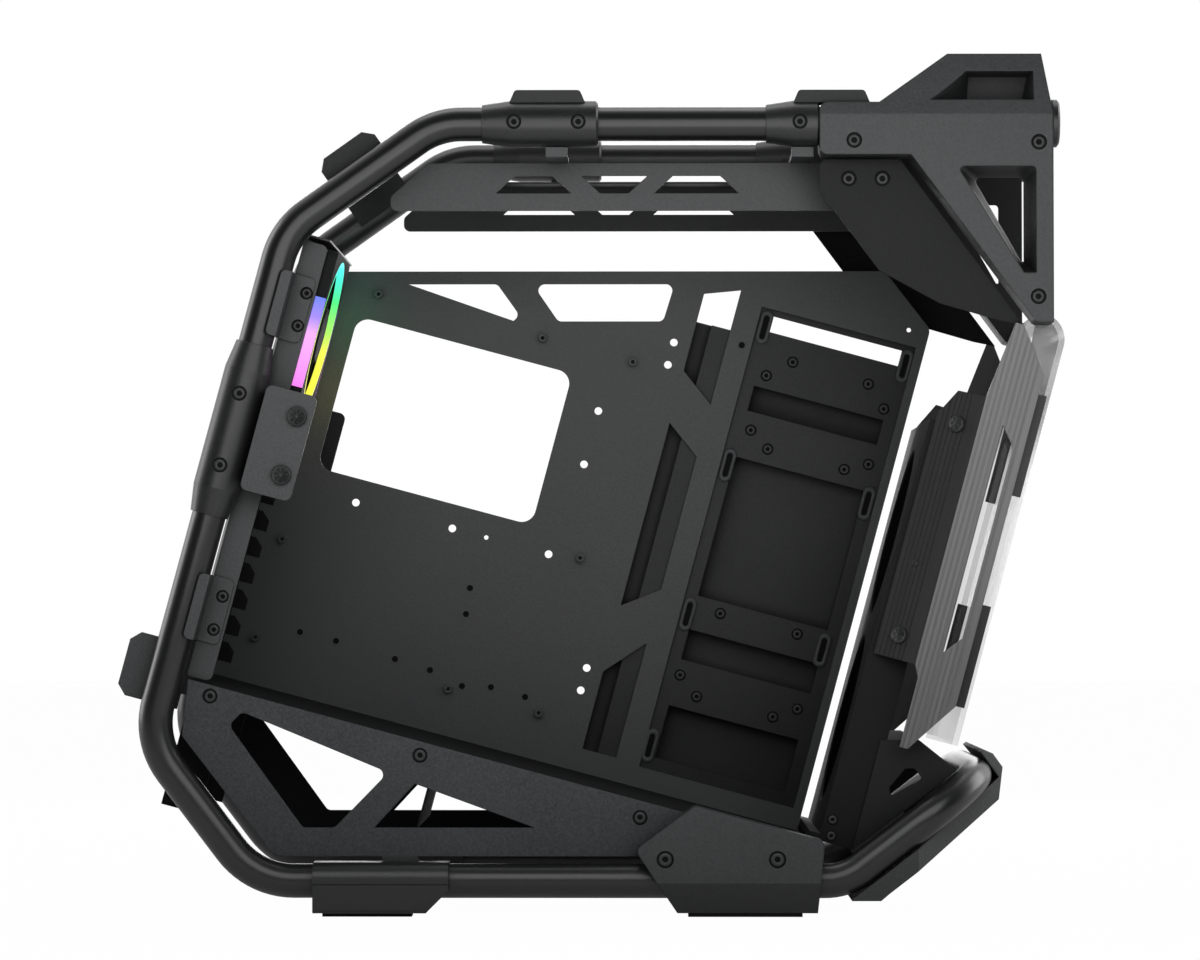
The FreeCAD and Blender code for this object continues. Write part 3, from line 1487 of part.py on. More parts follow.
def drive_bracket():
    lap = size.drive_lap
    rear = size.drive_rear_u
    front = size.drive_rear_u + size.drive_width
    low = size.drive_low_v
    high = size.drive_low_v + size.drive_height
    rim = size.drive_rim
    behind = -(size.tray_y + size.sheet_thickness)
    cross = size.drive_cross_height
    frame = new_body("drive_frame", leans=True)
    sketch = new_sketch(frame, "XZ_Plane", behind)
    draw_box(sketch, (rear - lap, low - lap), (front + lap, high + lap))
    window_low = high - rim / 2 - size.drive_window_height
    bands = [(window_low, high - rim / 2),
             (size.drive_middle_cross_v + cross, size.drive_upper_cross_v + rim * 2),
             (size.drive_lower_cross_v + cross - rim, size.drive_middle_cross_v),
             (size.drive_bottom_cross_v + cross, size.drive_lower_cross_v),
             (low + rim, size.drive_bottom_cross_v)]
    for band_low, band_high in bands:
        draw_box(sketch, (rear + rim, band_low), (front - rim, band_high))
    add_pad(frame, sketch, size.sheet_thickness, reverse=True)
    keep(frame)

    back = new_body("drive_back", leans=True)
    back_front = behind - size.sheet_thickness
    floor = new_sketch(back, "XZ_Plane", back_front - size.drive_depth)
    back_high = window_low - rim / 2
    inset = rim / 2
    draw_box(floor, (rear, low + inset), (front, back_high))
    add_pad(back, floor, size.sheet_thickness, reverse=True)
    for low_u in (rear, front - size.sheet_thickness):
        wall = new_sketch(back, "XZ_Plane", back_front)
        draw_box(wall, (low_u, low + inset), (low_u + size.sheet_thickness, back_high))
        add_pad(back, wall, size.drive_depth + size.sheet_thickness, reverse=True)
    keep(back)


# Power supply shroud
def shroud():
    body = new_body("supply_shroud")
    start = upright(size.shroud_rear_u, size.shroud_top_v)
    slope = LEAN_SIN / LEAN_COS
    front_top = start[1] - slope * (size.shroud_front_x - start[0])

    def below_top(x, margin):
        return x, start[1] - slope * (x - start[0]) - margin

    outline = [start, (size.shroud_front_x, front_top), (size.shroud_front_x, size.shroud_low_z),
               (size.shroud_heel_x, size.shroud_low_z), (size.shroud_rear_x, size.shroud_rear_z)]
    floor = size.shroud_window_low_z
    window = [(size.shroud_window_rear_x, size.shroud_window_rear_z),
              (size.shroud_window_low_rear_x, floor), (size.shroud_window_low_front_x, floor),
              below_top(size.shroud_window_tip_x, size.shroud_window_tip_drop),
              below_top(size.shroud_window_crown_x, size.shroud_window_crown_drop)]
    fork = [(size.shroud_fork_rear_x, floor), (size.shroud_fork_front_x, floor),
            below_top(size.shroud_fork_x, size.shroud_fork_drop)]
    for side, hand in SIDES:
        side_plate(body, outline, size.shroud_half_width, size.sheet_thickness, hand, (window, fork))
    round_edges(body, "XZ_Plane", [outline[3]], size.shroud_round)
    round_edges(body, "XZ_Plane", window, size.shroud_window_round)
    deck = new_sketch(body, "XZ_Plane")
    skin = size.sheet_thickness / LEAN_COS
    draw_polygon(deck, [start, (size.shroud_front_x, front_top), (size.shroud_front_x, front_top - skin),
                        (start[0], start[1] - skin)])
    add_pad(body, deck, size.shroud_half_width * 2, symmetric=True)
    keep(body)


def supply_parts():
    """The rear frame that the power supply bolts to, and the stop that its front end meets."""
    top = size.shroud_top_v - size.sheet_thickness
    frame = new_body("supply_frame", leans=True)
    sketch = new_sketch(frame, "YZ_Plane", size.supply_u)
    half = size.supply_half_width
    opening = size.supply_opening_half_width
    rim = (size.supply_half_width - opening) / 2
    draw_box(sketch, (-half, top - size.supply_drop), (half, top))
    draw_box(sketch, (-opening, top - rim - size.supply_opening_height), (opening, top - rim))
    add_pad(frame, sketch, size.sheet_thickness)
    front = size.supply_u + size.supply_flange
    flange = [(size.supply_u, top - size.supply_drop), (front, top - size.supply_drop), (front, top),
              (size.supply_u, top)]
    for side, hand in SIDES:
        side_plate(frame, flange, half, size.sheet_thickness, hand)
    keep(frame)

    stop = new_body("supply_stop", leans=True)
    cross_plate(stop, (size.stop_u, top - size.stop_drop), (size.stop_u + size.sheet_thickness, top),
                size.stop_half_width)
    cross_plate(stop, (size.stop_u, top - size.sheet_thickness),
                (size.stop_u + size.supply_lip, top), size.stop_half_width)
    keep(stop)


# Front: fan bracket, ribbed fins, glass, chin bracket and bumper guard
def front_bracket():
    body = new_body("front_fan_bracket", leans=True)
    half = size.front_half_width
    sketch = new_sketch(body, "YZ_Plane", size.front_u)
    draw_box(sketch, (-half, size.front_low_v), (half, size.front_high_v))
    for number in range(2):
        fan_v = size.front_fan_low_v + size.front_fan_pitch * number
        draw_circle(sketch, (0, fan_v), size.front_fan_diameter)
    add_pad(body, sketch, size.sheet_thickness)
    cross_plate(body, (size.tray_front_u + size.seat_gap, size.front_low_v),
                (size.front_u, size.front_low_v + size.front_tie), half)
    front = size.front_u + size.front_flange
    outline = [(size.front_u, size.front_low_v), (front, size.front_low_v), (front, size.front_high_v),
               (size.front_u, size.front_high_v)]
    for side, hand in SIDES:
        side_plate(body, outline, half, size.sheet_thickness, hand)
    keep(body)


def fin_section():
    """The bent sheet's section: grooved outer faces, plain inner ones, as u and distance from the middle."""
    crease = (size.fin_crease_u, size.fin_outer_y)
    front = (size.fin_front_u, size.fin_outer_y)
    inner_y = size.front_half_width + size.fin_seat
    inner = (size.fin_inner_u, inner_y)
    skin = size.fin_thickness
    run = size.fin_crease_u - size.fin_inner_u
    drop = size.fin_outer_y - inner_y
    whole = Size(math.hypot(run.value, drop.value), "sqrt(%s ^ 2 + %s ^ 2)" % (run.text, drop.text))
    along = (run / whole, drop / whole)
    points = [inner]

    def groove(base, direction, start):
        normal = (-direction[1], direction[0])
        for distance, depth in ((start, 0), (start, size.groove_depth),
                                (start + size.groove_width, size.groove_depth),
                                (start + size.groove_width, 0)):
            points.append((base[0] + direction[0] * distance - normal[0] * depth,
                           base[1] + direction[1] * distance - normal[1] * depth))

    for number in range(round(size.skirt_grooves.value)):
        groove(inner, along, size.groove_pitch * (number + 1))
    points.append(crease)
    level = (as_size(1), as_size(0))
    for number in range(round(size.fin_grooves.value)):
        groove(crease, level, size.groove_pitch * (number + 0.5))
    points.append(front)
    points.append((front[0], front[1] - skin))
    points.append((crease[0] + skin * drop / whole / 2, crease[1] - skin))
    points.append((inner[0] + skin * drop / whole, inner[1] - skin * run / whole))
    return points


def fins():
    low = size.fin_toe_v - size.fin_shoulder
    high = size.fin_tip_v + size.fin_shoulder
    tip_half = size.fin_thickness
    outline = [(size.fin_tip_u - tip_half, size.fin_tip_v), (size.fin_tip_u + tip_half, size.fin_tip_v),
               (size.fin_front_u, size.fin_brow_v), (size.fin_front_u, size.fin_chin_v),
               (size.fin_toe_u + tip_half, size.fin_toe_v), (size.fin_toe_u - tip_half, size.fin_toe_v),
               (size.fin_toe_u - tip_half, size.fin_low_v - tip_half * 3),
               (size.fin_crease_u, size.fin_low_v), (size.fin_inner_u, size.fin_low_v),
               (size.fin_inner_u, size.fin_high_v - size.fin_shoulder),
               (size.fin_inner_u + size.fin_shoulder / 2, size.fin_high_v),
               (size.fin_crease_u, size.fin_high_v)]
    slot = [(size.fin_slot_rear_u, size.fin_slot_low_v),
            (size.fin_slot_front_u, size.fin_slot_low_v + size.fin_slot_slant),
            (size.fin_slot_front_u, size.fin_slot_high_v - size.fin_slot_slant),
            (size.fin_slot_rear_u, size.fin_slot_high_v)]
    margin = size.fin_shoulder
    for side, hand in SIDES:
        body = new_body(side + "_fin", leans=True)
        section = new_sketch(body, "XY_Plane", low)
        draw_polygon(section, [(u, -hand * y) for u, y in fin_section()])
        add_pad(body, section, high - low)
        trim = new_sketch(body, "XZ_Plane")
        draw_box(trim, (size.fin_inner_u - margin, low - margin), (size.fin_front_u + margin, high + margin))
        draw_polygon(trim, outline)
        add_pocket(body, trim)
        opening = new_sketch(body, "XZ_Plane")
        draw_polygon(opening, slot)
        add_pocket(body, opening)
        keep(body)


GLASS_BEND_STEPS = 6


def front_glass():
    body = new_body("front_glass", leans=True)
    front = size.glass_front_u
    skin = size.glass_thickness
    half = size.handle_outer_y - size.handle_thickness - size.seat_gap * 2
    low, high = size.glass_low_v, size.glass_high_v
    rear = front - size.glass_wall_depth
    block = new_sketch(body, "XZ_Plane")
    draw_box(block, (rear, low), (front, high))
    add_pad(body, block, half * 2, symmetric=True)
    round_edges(body, "XZ_Plane", [(front, high)], size.glass_round)
    bend = [(front - size.glass_round + (size.glass_round - skin) * math.cos(turn),
             high - size.glass_round + (size.glass_round - skin) * math.sin(turn))
            for turn in [math.pi / 2 * step / GLASS_BEND_STEPS for step in range(GLASS_BEND_STEPS + 1)]]
    hollow = new_sketch(body, "XZ_Plane")
    draw_polygon(hollow, [(rear - skin, low - skin), (front - skin, low - skin)] + bend
                 + [(rear - skin, high - skin)])
    add_pocket(body, hollow, (half - skin) * 2, symmetric=True)
    keep(body)

    strips = []
    for side, hand in SIDES:
        for number in range(2):
            strip = new_body("%s_strip_%d" % (side, number + 1), leans=True)
            start = size.strip_low_v + (size.strip_length + size.strip_gap) * number
            outer = front - size.strip_inset
            sketch = new_sketch(strip, "XZ_Plane", hand * half)
            draw_box(sketch, (outer - size.strip_width, start), (outer, start + size.strip_length))
            add_pad(strip, sketch, size.strip_thickness, reverse=hand < 0)
            strips.append(strip)
    keep_group("glass_strips", strips)


TOE_RUN = size.bumper_x - size.toe_x
TOE_RISE = size.bumper_z - size.base_run_z
TOE_LENGTH = Size(math.hypot(TOE_RUN.value, TOE_RISE.value),
                  "sqrt(%s ^ 2 + %s ^ 2)" % (TOE_RUN.text, TOE_RISE.text))
TOE_ALONG = (TOE_RUN / TOE_LENGTH, TOE_RISE / TOE_LENGTH)


def beside_toe(distance, rise):
    """A place along the rising end of the bumper tube, and above its centre line."""
    return (size.toe_x + TOE_ALONG[0] * distance - TOE_ALONG[1] * rise,
            size.base_run_z + TOE_ALONG[1] * distance + TOE_ALONG[0] * rise)


def chin_bracket():
    """The bracket that ties the front fan bracket down to the bumper tube's rising ends."""
    body = new_body("chin_bracket")
    top_front = size.chin_top_x + size.chin_top_length
    seat = TUBE_RADIUS + size.seat_gap
    outline = [beside_toe(size.chin_start, seat), beside_toe(size.chin_start + size.chin_length, seat),
               (top_front, size.chin_top_z), (size.chin_top_x, size.chin_top_z)]
    outer = size.front_half_width + size.sheet_thickness
    ledge_end = size.chin_start + size.chin_ledge
    ledge = [beside_toe(size.chin_start, seat), beside_toe(ledge_end, seat),
             beside_toe(ledge_end, seat + size.sheet_thickness),
             beside_toe(size.chin_start, seat + size.sheet_thickness)]
    crown_end = size.chin_slot_crown_x + size.chin_slot_crown_length
    slot = [(size.chin_slot_rear_x, size.chin_slot_low_z), (size.chin_slot_front_x, size.chin_slot_front_z),
            (crown_end, size.chin_slot_crown_z), (size.chin_slot_crown_x, size.chin_slot_crown_z),
            (size.chin_slot_rear_x, size.chin_slot_waist_z)]
    for side, hand in SIDES:
        side_plate(body, outline, outer, size.sheet_thickness, hand, [slot])
    round_edges(body, "XZ_Plane", slot, size.chin_slot_round)
    for side, hand in SIDES:
        side_plate(body, ledge, size.half_width, size.half_width - size.front_half_width, hand)
    flange_front = size.front_u + size.front_flange
    web_rear = (flange_front + size.chin_top_z * LEAN_SIN) / LEAN_COS + size.seat_gap
    cross_plate(body, (web_rear, size.chin_top_z - size.sheet_thickness),
                (top_front, size.chin_top_z), outer)
    keep(body)


def bumper_guard():
    """A moulded strip that hugs the underside and front of the bumper tube."""
    inner = TUBE_RADIUS + size.guard_gap
    outer = inner + size.guard_thickness
    face = TOE_LENGTH + inner + size.guard_nose

    def place(distance, drop):
        return beside_toe(distance, -drop)

    heel = (size.guard_heel_x, size.guard_heel_z)
    heel_top = (size.guard_heel_x, size.guard_heel_z + size.guard_heel_thickness)
    heel_front = (size.guard_heel_x + size.guard_heel_length, size.guard_heel_z)
    front_x = place(face, 0)[0]
    outline = [heel_top, place(size.guard_start, inner),
               place(TOE_LENGTH + inner, inner), place(TOE_LENGTH + inner, -size.guard_lip),
               place(face - size.guard_lip_slope, -size.guard_lip), place(face, -size.guard_lip_slope),
               place(face, outer - size.guard_chamfer), place(face - size.guard_chamfer, outer),
               place(size.guard_start, outer), heel_front, heel]
    body = new_body("bumper_guard")
    sketch = new_sketch(body, "XZ_Plane")
    draw_polygon(sketch, outline)
    add_pad(body, sketch, size.guard_half_width * 2, symmetric=True)
    plan = new_sketch(body, "XY_Plane")
    margin = size.guard_round
    half = size.guard_half_width
    draw_polygon(plan, [(front_x - margin, half), (front_x + margin, half - margin * 2),
                        (front_x + margin, half + margin), (front_x - margin, half + margin)])
    add_pocket(body, plan)
    plan = new_sketch(body, "XY_Plane")
    draw_polygon(plan, [(front_x - margin, -half), (front_x - margin, -half - margin),
                        (front_x + margin, -half - margin), (front_x + margin, margin * 2 - half)])
    add_pocket(body, plan)
    keep(body)


def build():
    frame_tubes()
    bumper_tube()
    couplers()
    coupler_pads()
    tube_caps()
    feet()
    handle_blocks()
    front_bar()
    corner_plates()
    top_bracket()
    hangers()
    braces()
    rear_panel()
    slot_covers()
    rear_fan()
    tube_clips()
    thumb_plates()
    board_tray()
    standoffs()
    cable_brackets()
    drive_bracket()
    shroud()
    supply_parts()
    front_bracket()
    fins()
    front_glass()
    chin_bracket()
    bumper_guard()
    doc.recompute()


build()
broken = [obj.Label for obj in doc.Objects if "Invalid" in obj.State or "Error" in obj.State]
broken += [node.Label for node in nodes if node.Shape.isNull() or not node.Shape.isValid()]
if broken:
    raise RuntimeError("failed: " + ", ".join(broken))

os.makedirs("parts", exist_ok=True)
for node in nodes:
    node.Shape.exportStep(os.path.join("parts", node.Label + ".step"))
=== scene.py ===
import json
import math

import bmesh
import bpy
from mathutils import Matrix, Vector
from mathutils.bvhtree import BVHTree


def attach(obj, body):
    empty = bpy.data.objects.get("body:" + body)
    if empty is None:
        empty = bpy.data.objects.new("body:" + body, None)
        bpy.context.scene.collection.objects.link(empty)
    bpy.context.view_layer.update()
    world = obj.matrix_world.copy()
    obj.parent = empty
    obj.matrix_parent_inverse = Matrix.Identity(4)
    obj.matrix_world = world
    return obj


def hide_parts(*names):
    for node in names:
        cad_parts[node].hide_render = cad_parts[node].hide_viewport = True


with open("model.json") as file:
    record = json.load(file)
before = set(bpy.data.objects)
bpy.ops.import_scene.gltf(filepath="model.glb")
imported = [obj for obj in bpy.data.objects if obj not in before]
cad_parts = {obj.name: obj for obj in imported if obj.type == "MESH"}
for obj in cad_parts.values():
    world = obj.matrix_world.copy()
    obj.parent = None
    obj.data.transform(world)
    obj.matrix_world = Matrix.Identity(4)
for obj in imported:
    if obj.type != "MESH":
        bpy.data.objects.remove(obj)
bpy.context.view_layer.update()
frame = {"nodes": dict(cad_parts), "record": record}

MM = 0.001
LEAN = math.radians(15)
CASE = "case"
LEFT = Vector((0, -1, 0))
RIGHT = Vector((0, 1, 0))
UP = Vector((0, 0, 1))
SIDES = (("left", LEFT), ("right", RIGHT))


# Places: millimetres upright, or along and up the leaning board chamber
def upright(x, y, z):
    return Vector((x, y, z)) * MM


def chamber(u, y, v):
    x = u * math.cos(LEAN) + v * math.sin(LEAN)
    z = v * math.cos(LEAN) - u * math.sin(LEAN)
    return Vector((x, y, z)) * MM


CHAMBER_UP = chamber(0, 0, 1).normalized()

# Seats: where a small piece meets the node that carries it
RAY_START = 0.3
skins = {}


def skin_of(node):
    """The node's faces, ready to be met by a ray."""
    if node not in skins:
        mesh = frame["nodes"][node].data
        corners = [vertex.co for vertex in mesh.vertices]
        faces = [polygon.vertices for polygon in mesh.polygons]
        skins[node] = BVHTree.FromPolygons(corners, faces)
    return skins[node]


def on_skin(node, place, outward):
    """The point of the node's surface under a place, looked for from outside, and the surface's normal."""
    start = Vector((place.x, 0, place.z)) + outward * RAY_START
    hit, normal = skin_of(node).ray_cast(start, -outward)[:2]
    if hit is None:
        raise RuntimeError("nothing of %s is under %s" % (node, place))
    return hit, normal


def facing(place, outward, up):
    """A matrix at a place whose Z points outward and whose Y points as nearly up as it can."""
    side = up.cross(outward).normalized()
    rise = outward.cross(side).normalized()
    turn = Matrix((side, rise, outward)).transposed().to_4x4()
    return Matrix.Translation(place) @ turn


def seat(node, place, outward, up=CHAMBER_UP):
    """A matrix on the node's surface under a place, facing straight out of the case's side."""
    return facing(on_skin(node, place, outward)[0], outward, up)


def sloped_seat(node, place, outward, up=CHAMBER_UP):
    """A matrix on the node's surface under a place, facing as the surface does."""
    hit, normal = on_skin(node, place, outward)
    return facing(hit, normal, up)


# Camera at the photograph's place; a level look straight across the case falls on LEVEL_PIXEL
IMAGE_WIDTH = 1200
IMAGE_HEIGHT = 960
FOCAL_PIXELS = 4080
LEVEL_PIXEL = (640, 595)
CAMERA_PLACE = upright(35, -3105, 233.7)
SENSOR_WIDTH = 36
NEAREST = 0.05
FURTHEST = 60


def photo_camera():
    data = bpy.data.cameras.new("photo_camera")
    data.sensor_fit = "HORIZONTAL"
    data.sensor_width = SENSOR_WIDTH
    data.lens = FOCAL_PIXELS / IMAGE_WIDTH * SENSOR_WIDTH
    data.clip_start = NEAREST
    data.clip_end = FURTHEST
    camera = bpy.data.objects.new("photo_camera", data)
    bpy.context.scene.collection.objects.link(camera)
    aim = Vector(((IMAGE_WIDTH / 2 - LEVEL_PIXEL[0]) / FOCAL_PIXELS, 1,
                  (LEVEL_PIXEL[1] - IMAGE_HEIGHT / 2) / FOCAL_PIXELS))
    camera.location = CAMERA_PLACE
    camera.rotation_euler = aim.to_track_quat("-Z", "Y").to_euler()
    bpy.context.scene.camera = camera


# Finishes
class Wire:
    """A socket of a finish's node tree; sums and products of wires become Math nodes."""

    def __init__(self, finish, socket):
        self.finish = finish
        self.socket = socket

    def _math(self, operation, *values):
        return self.finish.add("ShaderNodeMath", {"operation": operation}, dict(enumerate(values)))

    def __add__(self, other):
        return self._math("ADD", self, other)

    def __radd__(self, other):
        return self._math("ADD", other, self)

    def __sub__(self, other):
        return self._math("SUBTRACT", self, other)

    def __rsub__(self, other):
        return self._math("SUBTRACT", other, self)

    def __mul__(self, other):
        return self._math("MULTIPLY", self, other)

    def __rmul__(self, other):
        return self._math("MULTIPLY", other, self)

    def __gt__(self, other):
        return self._math("GREATER_THAN", self, other)


class Finish:
    """A node tree with one method that adds any node."""

    def __init__(self, owner):
        owner.use_nodes = True
        self.owner = owner
        self.nodes = owner.node_tree.nodes
        self.links = owner.node_tree.links
        self.nodes.clear()

    def add(self, kind, settings=None, inputs=None, output=0):
        node = self.nodes.new(kind)
        for name, value in (settings or {}).items():
            if name == "stops":
                self.set_stops(node.color_ramp.elements, value)
            else:
                setattr(node, name, value)
        for key, value in (inputs or {}).items():
            self.join(node.inputs[key], value)
        return Wire(self, node.outputs[output])

    def set_stops(self, ramp, stops):
        while len(ramp) < len(stops):
            ramp.new(1)
        for element, (place, color) in zip(ramp, stops):
            element.position = place
            element.color = color

    def join(self, socket, value):
        if isinstance(value, Wire):
            self.links.new(value.socket, socket)
        else:
            socket.default_value = value

    def place(self):
        return self.add("ShaderNodeTexCoord", output="Object")

    def leaning(self):
        """The place along and up the leaning chamber."""
        return self.add("ShaderNodeMapping", None, {"Vector": self.place(), "Rotation": (0, -LEAN, 0)})

    def normal(self):
        return self.add("ShaderNodeNewGeometry", output="Normal")

    def along(self, vector, axis):
        """One of a vector's three numbers."""
        return self.add("ShaderNodeSeparateXYZ", None, {"Vector": vector}, output=axis)

    def noise(self, place, scale, detail):
        return self.add("ShaderNodeTexNoise", None, {
            "Vector": place, "Scale": scale, "Detail": detail}, output="Fac")

    def blend(self, factor, first, second):
        return self.add("ShaderNodeMix", {"data_type": "RGBA"}, {
            "Factor": factor, 6: first, 7: second}, output=2)

    def relief(self, height, strength, distance, edge):
        """Normals with a fine relief, and each sharp edge rounded by a radius in millimetres."""
        rounded = self.add("ShaderNodeBevel", {"samples": 4}, {"Radius": edge * MM})
        return self.add("ShaderNodeBump", None, {
            "Strength": strength, "Distance": distance, "Height": height, "Normal": rounded})

    def surface(self, inputs):
        """Ends the tree in a surface with these inputs, and gives the finished material."""
        self.output(self.add("ShaderNodeBsdfPrincipled", None, inputs))
        return self.owner

    def output(self, shader, kind="ShaderNodeOutputMaterial"):
        end = self.nodes.new(kind)
        self.links.new(shader.socket, end.inputs["Surface"])


def gray(level):
    return (level, level, level, 1)


def cool(level):
    """A black that leans a little to blue, as the paint does."""
    return (level * 0.95, level, level * 1.05, 1)


def scaled(color, share):
    """A colour made darker or lighter by a share."""
    return [channel * share for channel in color[:3]] + [1]


# Depth in metres at which a face that looks across the case counts as wholly inside, where it takes the full
# painted shade of inner faces
INNER_DEPTH = 0.13


def inner_shade_mask(finish):
    """Painted shade mask: from none on the outside to one on faces deep inside that look across the case,
    which are painted darker as if in shade.
    """
    turned = finish.along(finish.normal(), "Y")
    across = finish.along(finish.place(), "Y")
    inward = turned * across * (-1 / INNER_DEPTH)
    return finish.add("ShaderNodeClamp", None, {"Value": inward})


# Painted shade of hollows: how far they are looked for, and the shares of open space that count as none and
# as all
HOLLOW_REACH = 0.3
HOLLOW_RANGE = (0.25, 0.75)
DULL_HOLLOWS = 0.3
# The paint's broad patches and fine specks
PATCH_SCALE = 14
PATCH_DETAIL = 4
PATCH_SHARE = 0.4
SPECK_DETAIL = 2
SPECK_SHARE = 0.6
SPECK_CONTRAST = 2.2
SPECK_HEIGHT = 0.0004
MIDDLE = 0.5
# A face that looks up by more than this is a deck; decks can be painted near black as shade
DECK_RISE = 0.8


def openness(finish):
    """From none deep in a recess to one in the open, from ambient occlusion; it sets where hollows are
    painted dark as shade.
    """
    sky = finish.add("ShaderNodeAmbientOcclusion", {"samples": 6}, {"Distance": HOLLOW_REACH}, output="AO")
    low, high = HOLLOW_RANGE
    return finish.add("ShaderNodeMapRange", None, {"Value": sky, "From Min": low, "From Max": high})


def coat(name, color, rough, grain, depth, edge=0.8, mottle=0.45, spread=0.14, hollow=0.85, inner=0.9,
         dark_top=0, **sockets):
    """A finish with a fine grain, slight patches of sheen and softened edges, with painted shade: darker
    hollows, darker inner faces and, where asked, near-black decks.
    """
    finish = Finish(bpy.data.materials.new(name))
    patches = finish.noise(finish.place(), PATCH_SCALE, PATCH_DETAIL)
    specks = finish.noise(finish.place(), grain, SPECK_DETAIL)
    # Painted light share: one in the open, less in hollows and on inner faces, where the base is painted
    # darker as shade
    painted_light = openness(finish) * (1 - inner_shade_mask(finish) * inner)
    flecks = (specks - MIDDLE) * SPECK_CONTRAST + MIDDLE
    paint = finish.blend(patches * PATCH_SHARE + flecks * SPECK_SHARE,
                         scaled(color, 1 - mottle), scaled(color, 1 + mottle))
    # Painted shade: the base darkens by the hollow share where the painted light share is low
    base = finish.blend(painted_light, scaled(color, 1 - hollow), paint)
    dull = 1 - painted_light
    sheen = rough + (patches - MIDDLE) * spread + (specks - MIDDLE) * spread + dull * DULL_HOLLOWS
    # Painted shade: decks that look up take a near-black colour and full roughness
    if dark_top:
        deck = finish.along(finish.normal(), "Z") > DECK_RISE
        base = finish.blend(deck, base, cool(dark_top))
        sheen = sheen + deck * (1 - rough)
    inputs = {"Base Color": base, "Roughness": sheen,
              "Normal": finish.relief(specks, depth, SPECK_HEIGHT, edge)}
    inputs.update({key.replace("_", " "): value for key, value in sockets.items()})
    return finish.surface(inputs)


# The fin's crease along the chamber, in millimetres, and its brushed streaks, long up the ribs
FIN_CREASE_U = 180
FIN_EDGE = 0.35
STREAK_SCALE = (900, 900, 6)
STREAK_DETAIL = 3
STREAK_STRENGTH = 0.2
STREAK_HEIGHT = 0.0003
STREAK_ROUGH = 0.16
FIN_ROUGH = 0.34
FIN_METAL = 0.9
FACE_GRAYS = (gray(0.1), gray(0.21))
# Painted shade: the grays of the skirt behind the crease and of the fin's inner faces
SKIRT_SHADE_GRAYS = (gray(0.008), gray(0.02))


def brushed_fin():
    """Ribbed aluminium with fine streaks along the ribs; the skirt behind the crease and the faces inside
    the case are painted dark as shade.
    """
    finish = Finish(bpy.data.materials.new("fin_aluminium"))
    lean = finish.leaning()
    stretched = finish.add("ShaderNodeMapping", None, {"Vector": lean, "Scale": STREAK_SCALE})
    streaks = finish.noise(stretched, 1, STREAK_DETAIL)
    # Painted shade: faces inside the case take the skirt's dark grays
    inside = inner_shade_mask(finish) > MIDDLE
    face = (finish.along(lean, "X") > FIN_CREASE_U * MM) * (1 - inside)
    bright = finish.blend(streaks, *FACE_GRAYS)
    dark = finish.blend(streaks, *SKIRT_SHADE_GRAYS)
    return finish.surface({
        "Base Color": finish.blend(face, dark, bright), "Metallic": face * FIN_METAL,
        "Roughness": FIN_ROUGH + streaks * STREAK_ROUGH,
        "Normal": finish.relief(streaks, STREAK_STRENGTH, STREAK_HEIGHT, FIN_EDGE)})


# The glass's tint grows between two heights up the chamber, in metres
TINT_RISE = (0.4, 0.44)
TINT_COVER = (0.18, 0.54)
HAZE_SCALE = 30
HAZE_DETAIL = 3
HAZE_GRAYS = (gray(0.1), gray(0.13))
GLASS_ROUGH = 0.06
HAZE_ROUGH = 0.05
GLASS_IOR = 1.5


def smoked_glass():
    """Grey glass that dims what is behind it, tinted more at its top end."""
    finish = Finish(bpy.data.materials.new("front_glass"))
    haze = finish.noise(finish.place(), HAZE_SCALE, HAZE_DETAIL)
    cover = finish.add("ShaderNodeMapRange", {"interpolation_type": "SMOOTHSTEP"}, {
        "Value": finish.along(finish.leaning(), "Z"), "From Min": TINT_RISE[0], "From Max": TINT_RISE[1],
        "To Min": TINT_COVER[0], "To Max": TINT_COVER[1]})
    return finish.surface({
        "Base Color": finish.blend(haze, *HAZE_GRAYS), "Roughness": GLASS_ROUGH + haze * HAZE_ROUGH,
        "Alpha": cover, "IOR": GLASS_IOR})


# The fan's light: colours from the bottom to the top of its ring and of its straight bars
RING_STOPS = ((0.0, (1.0, 0.93, 0.04, 1)), (0.42, (0.95, 1.0, 0.09, 1)), (0.56, (0.42, 1.0, 0.14, 1)),
              (0.75, (0.09, 1.0, 0.26, 1)), (0.9, (0.08, 1.0, 0.78, 1)), (1.0, (0.12, 1.0, 1.0, 1)))
BAR_STOPS = ((0.0, (1.0, 0.2, 0.93, 1)), (0.35, (1.0, 0.36, 1.0, 1)), (0.6, (0.93, 0.43, 1.0, 1)),
             (0.78, (0.36, 0.24, 1.0, 1)), (1.0, (0.13, 0.22, 1.0, 1)))
FAN_U = -306
FAN_V = 361
FAN_Y = -50
BAR_Y = -109.5
RING_RADIUS = 57
BAR_MIDDLE_V = 351.5
BAR_HALF = 34
LENS_GRAY = 0.02
LENS_ROUGH = 0.5


def lamp_colours():
    """Light that changes colour up the fan: the ring and the straight bars have their own order."""
    finish = Finish(bpy.data.materials.new("fan_light"))
    spot = finish.leaning()
    up = finish.along(spot, "Z")
    ring_rise = (up - (FAN_V - RING_RADIUS) * MM) * (1 / (2 * RING_RADIUS * MM))
    bar_rise = (up - (BAR_MIDDLE_V - BAR_HALF) * MM) * (1 / (2 * BAR_HALF * MM))
    on_ring = finish.add("ShaderNodeValToRGB", {"stops": RING_STOPS}, {"Fac": ring_rise})
    on_bar = finish.add("ShaderNodeValToRGB", {"stops": BAR_STOPS}, {"Fac": bar_rise})
    from_axis = finish.along(spot, "Y") - FAN_Y * MM
    offset = finish.add("ShaderNodeMath", {"operation": "ABSOLUTE"}, {0: from_axis})
    outside = offset > (FAN_Y - BAR_Y) * MM
    return finish.surface({
        "Base Color": gray(LENS_GRAY), "Roughness": LENS_ROUGH,
        "Emission Color": finish.blend(outside, on_ring, on_bar), "Emission Strength": 1})
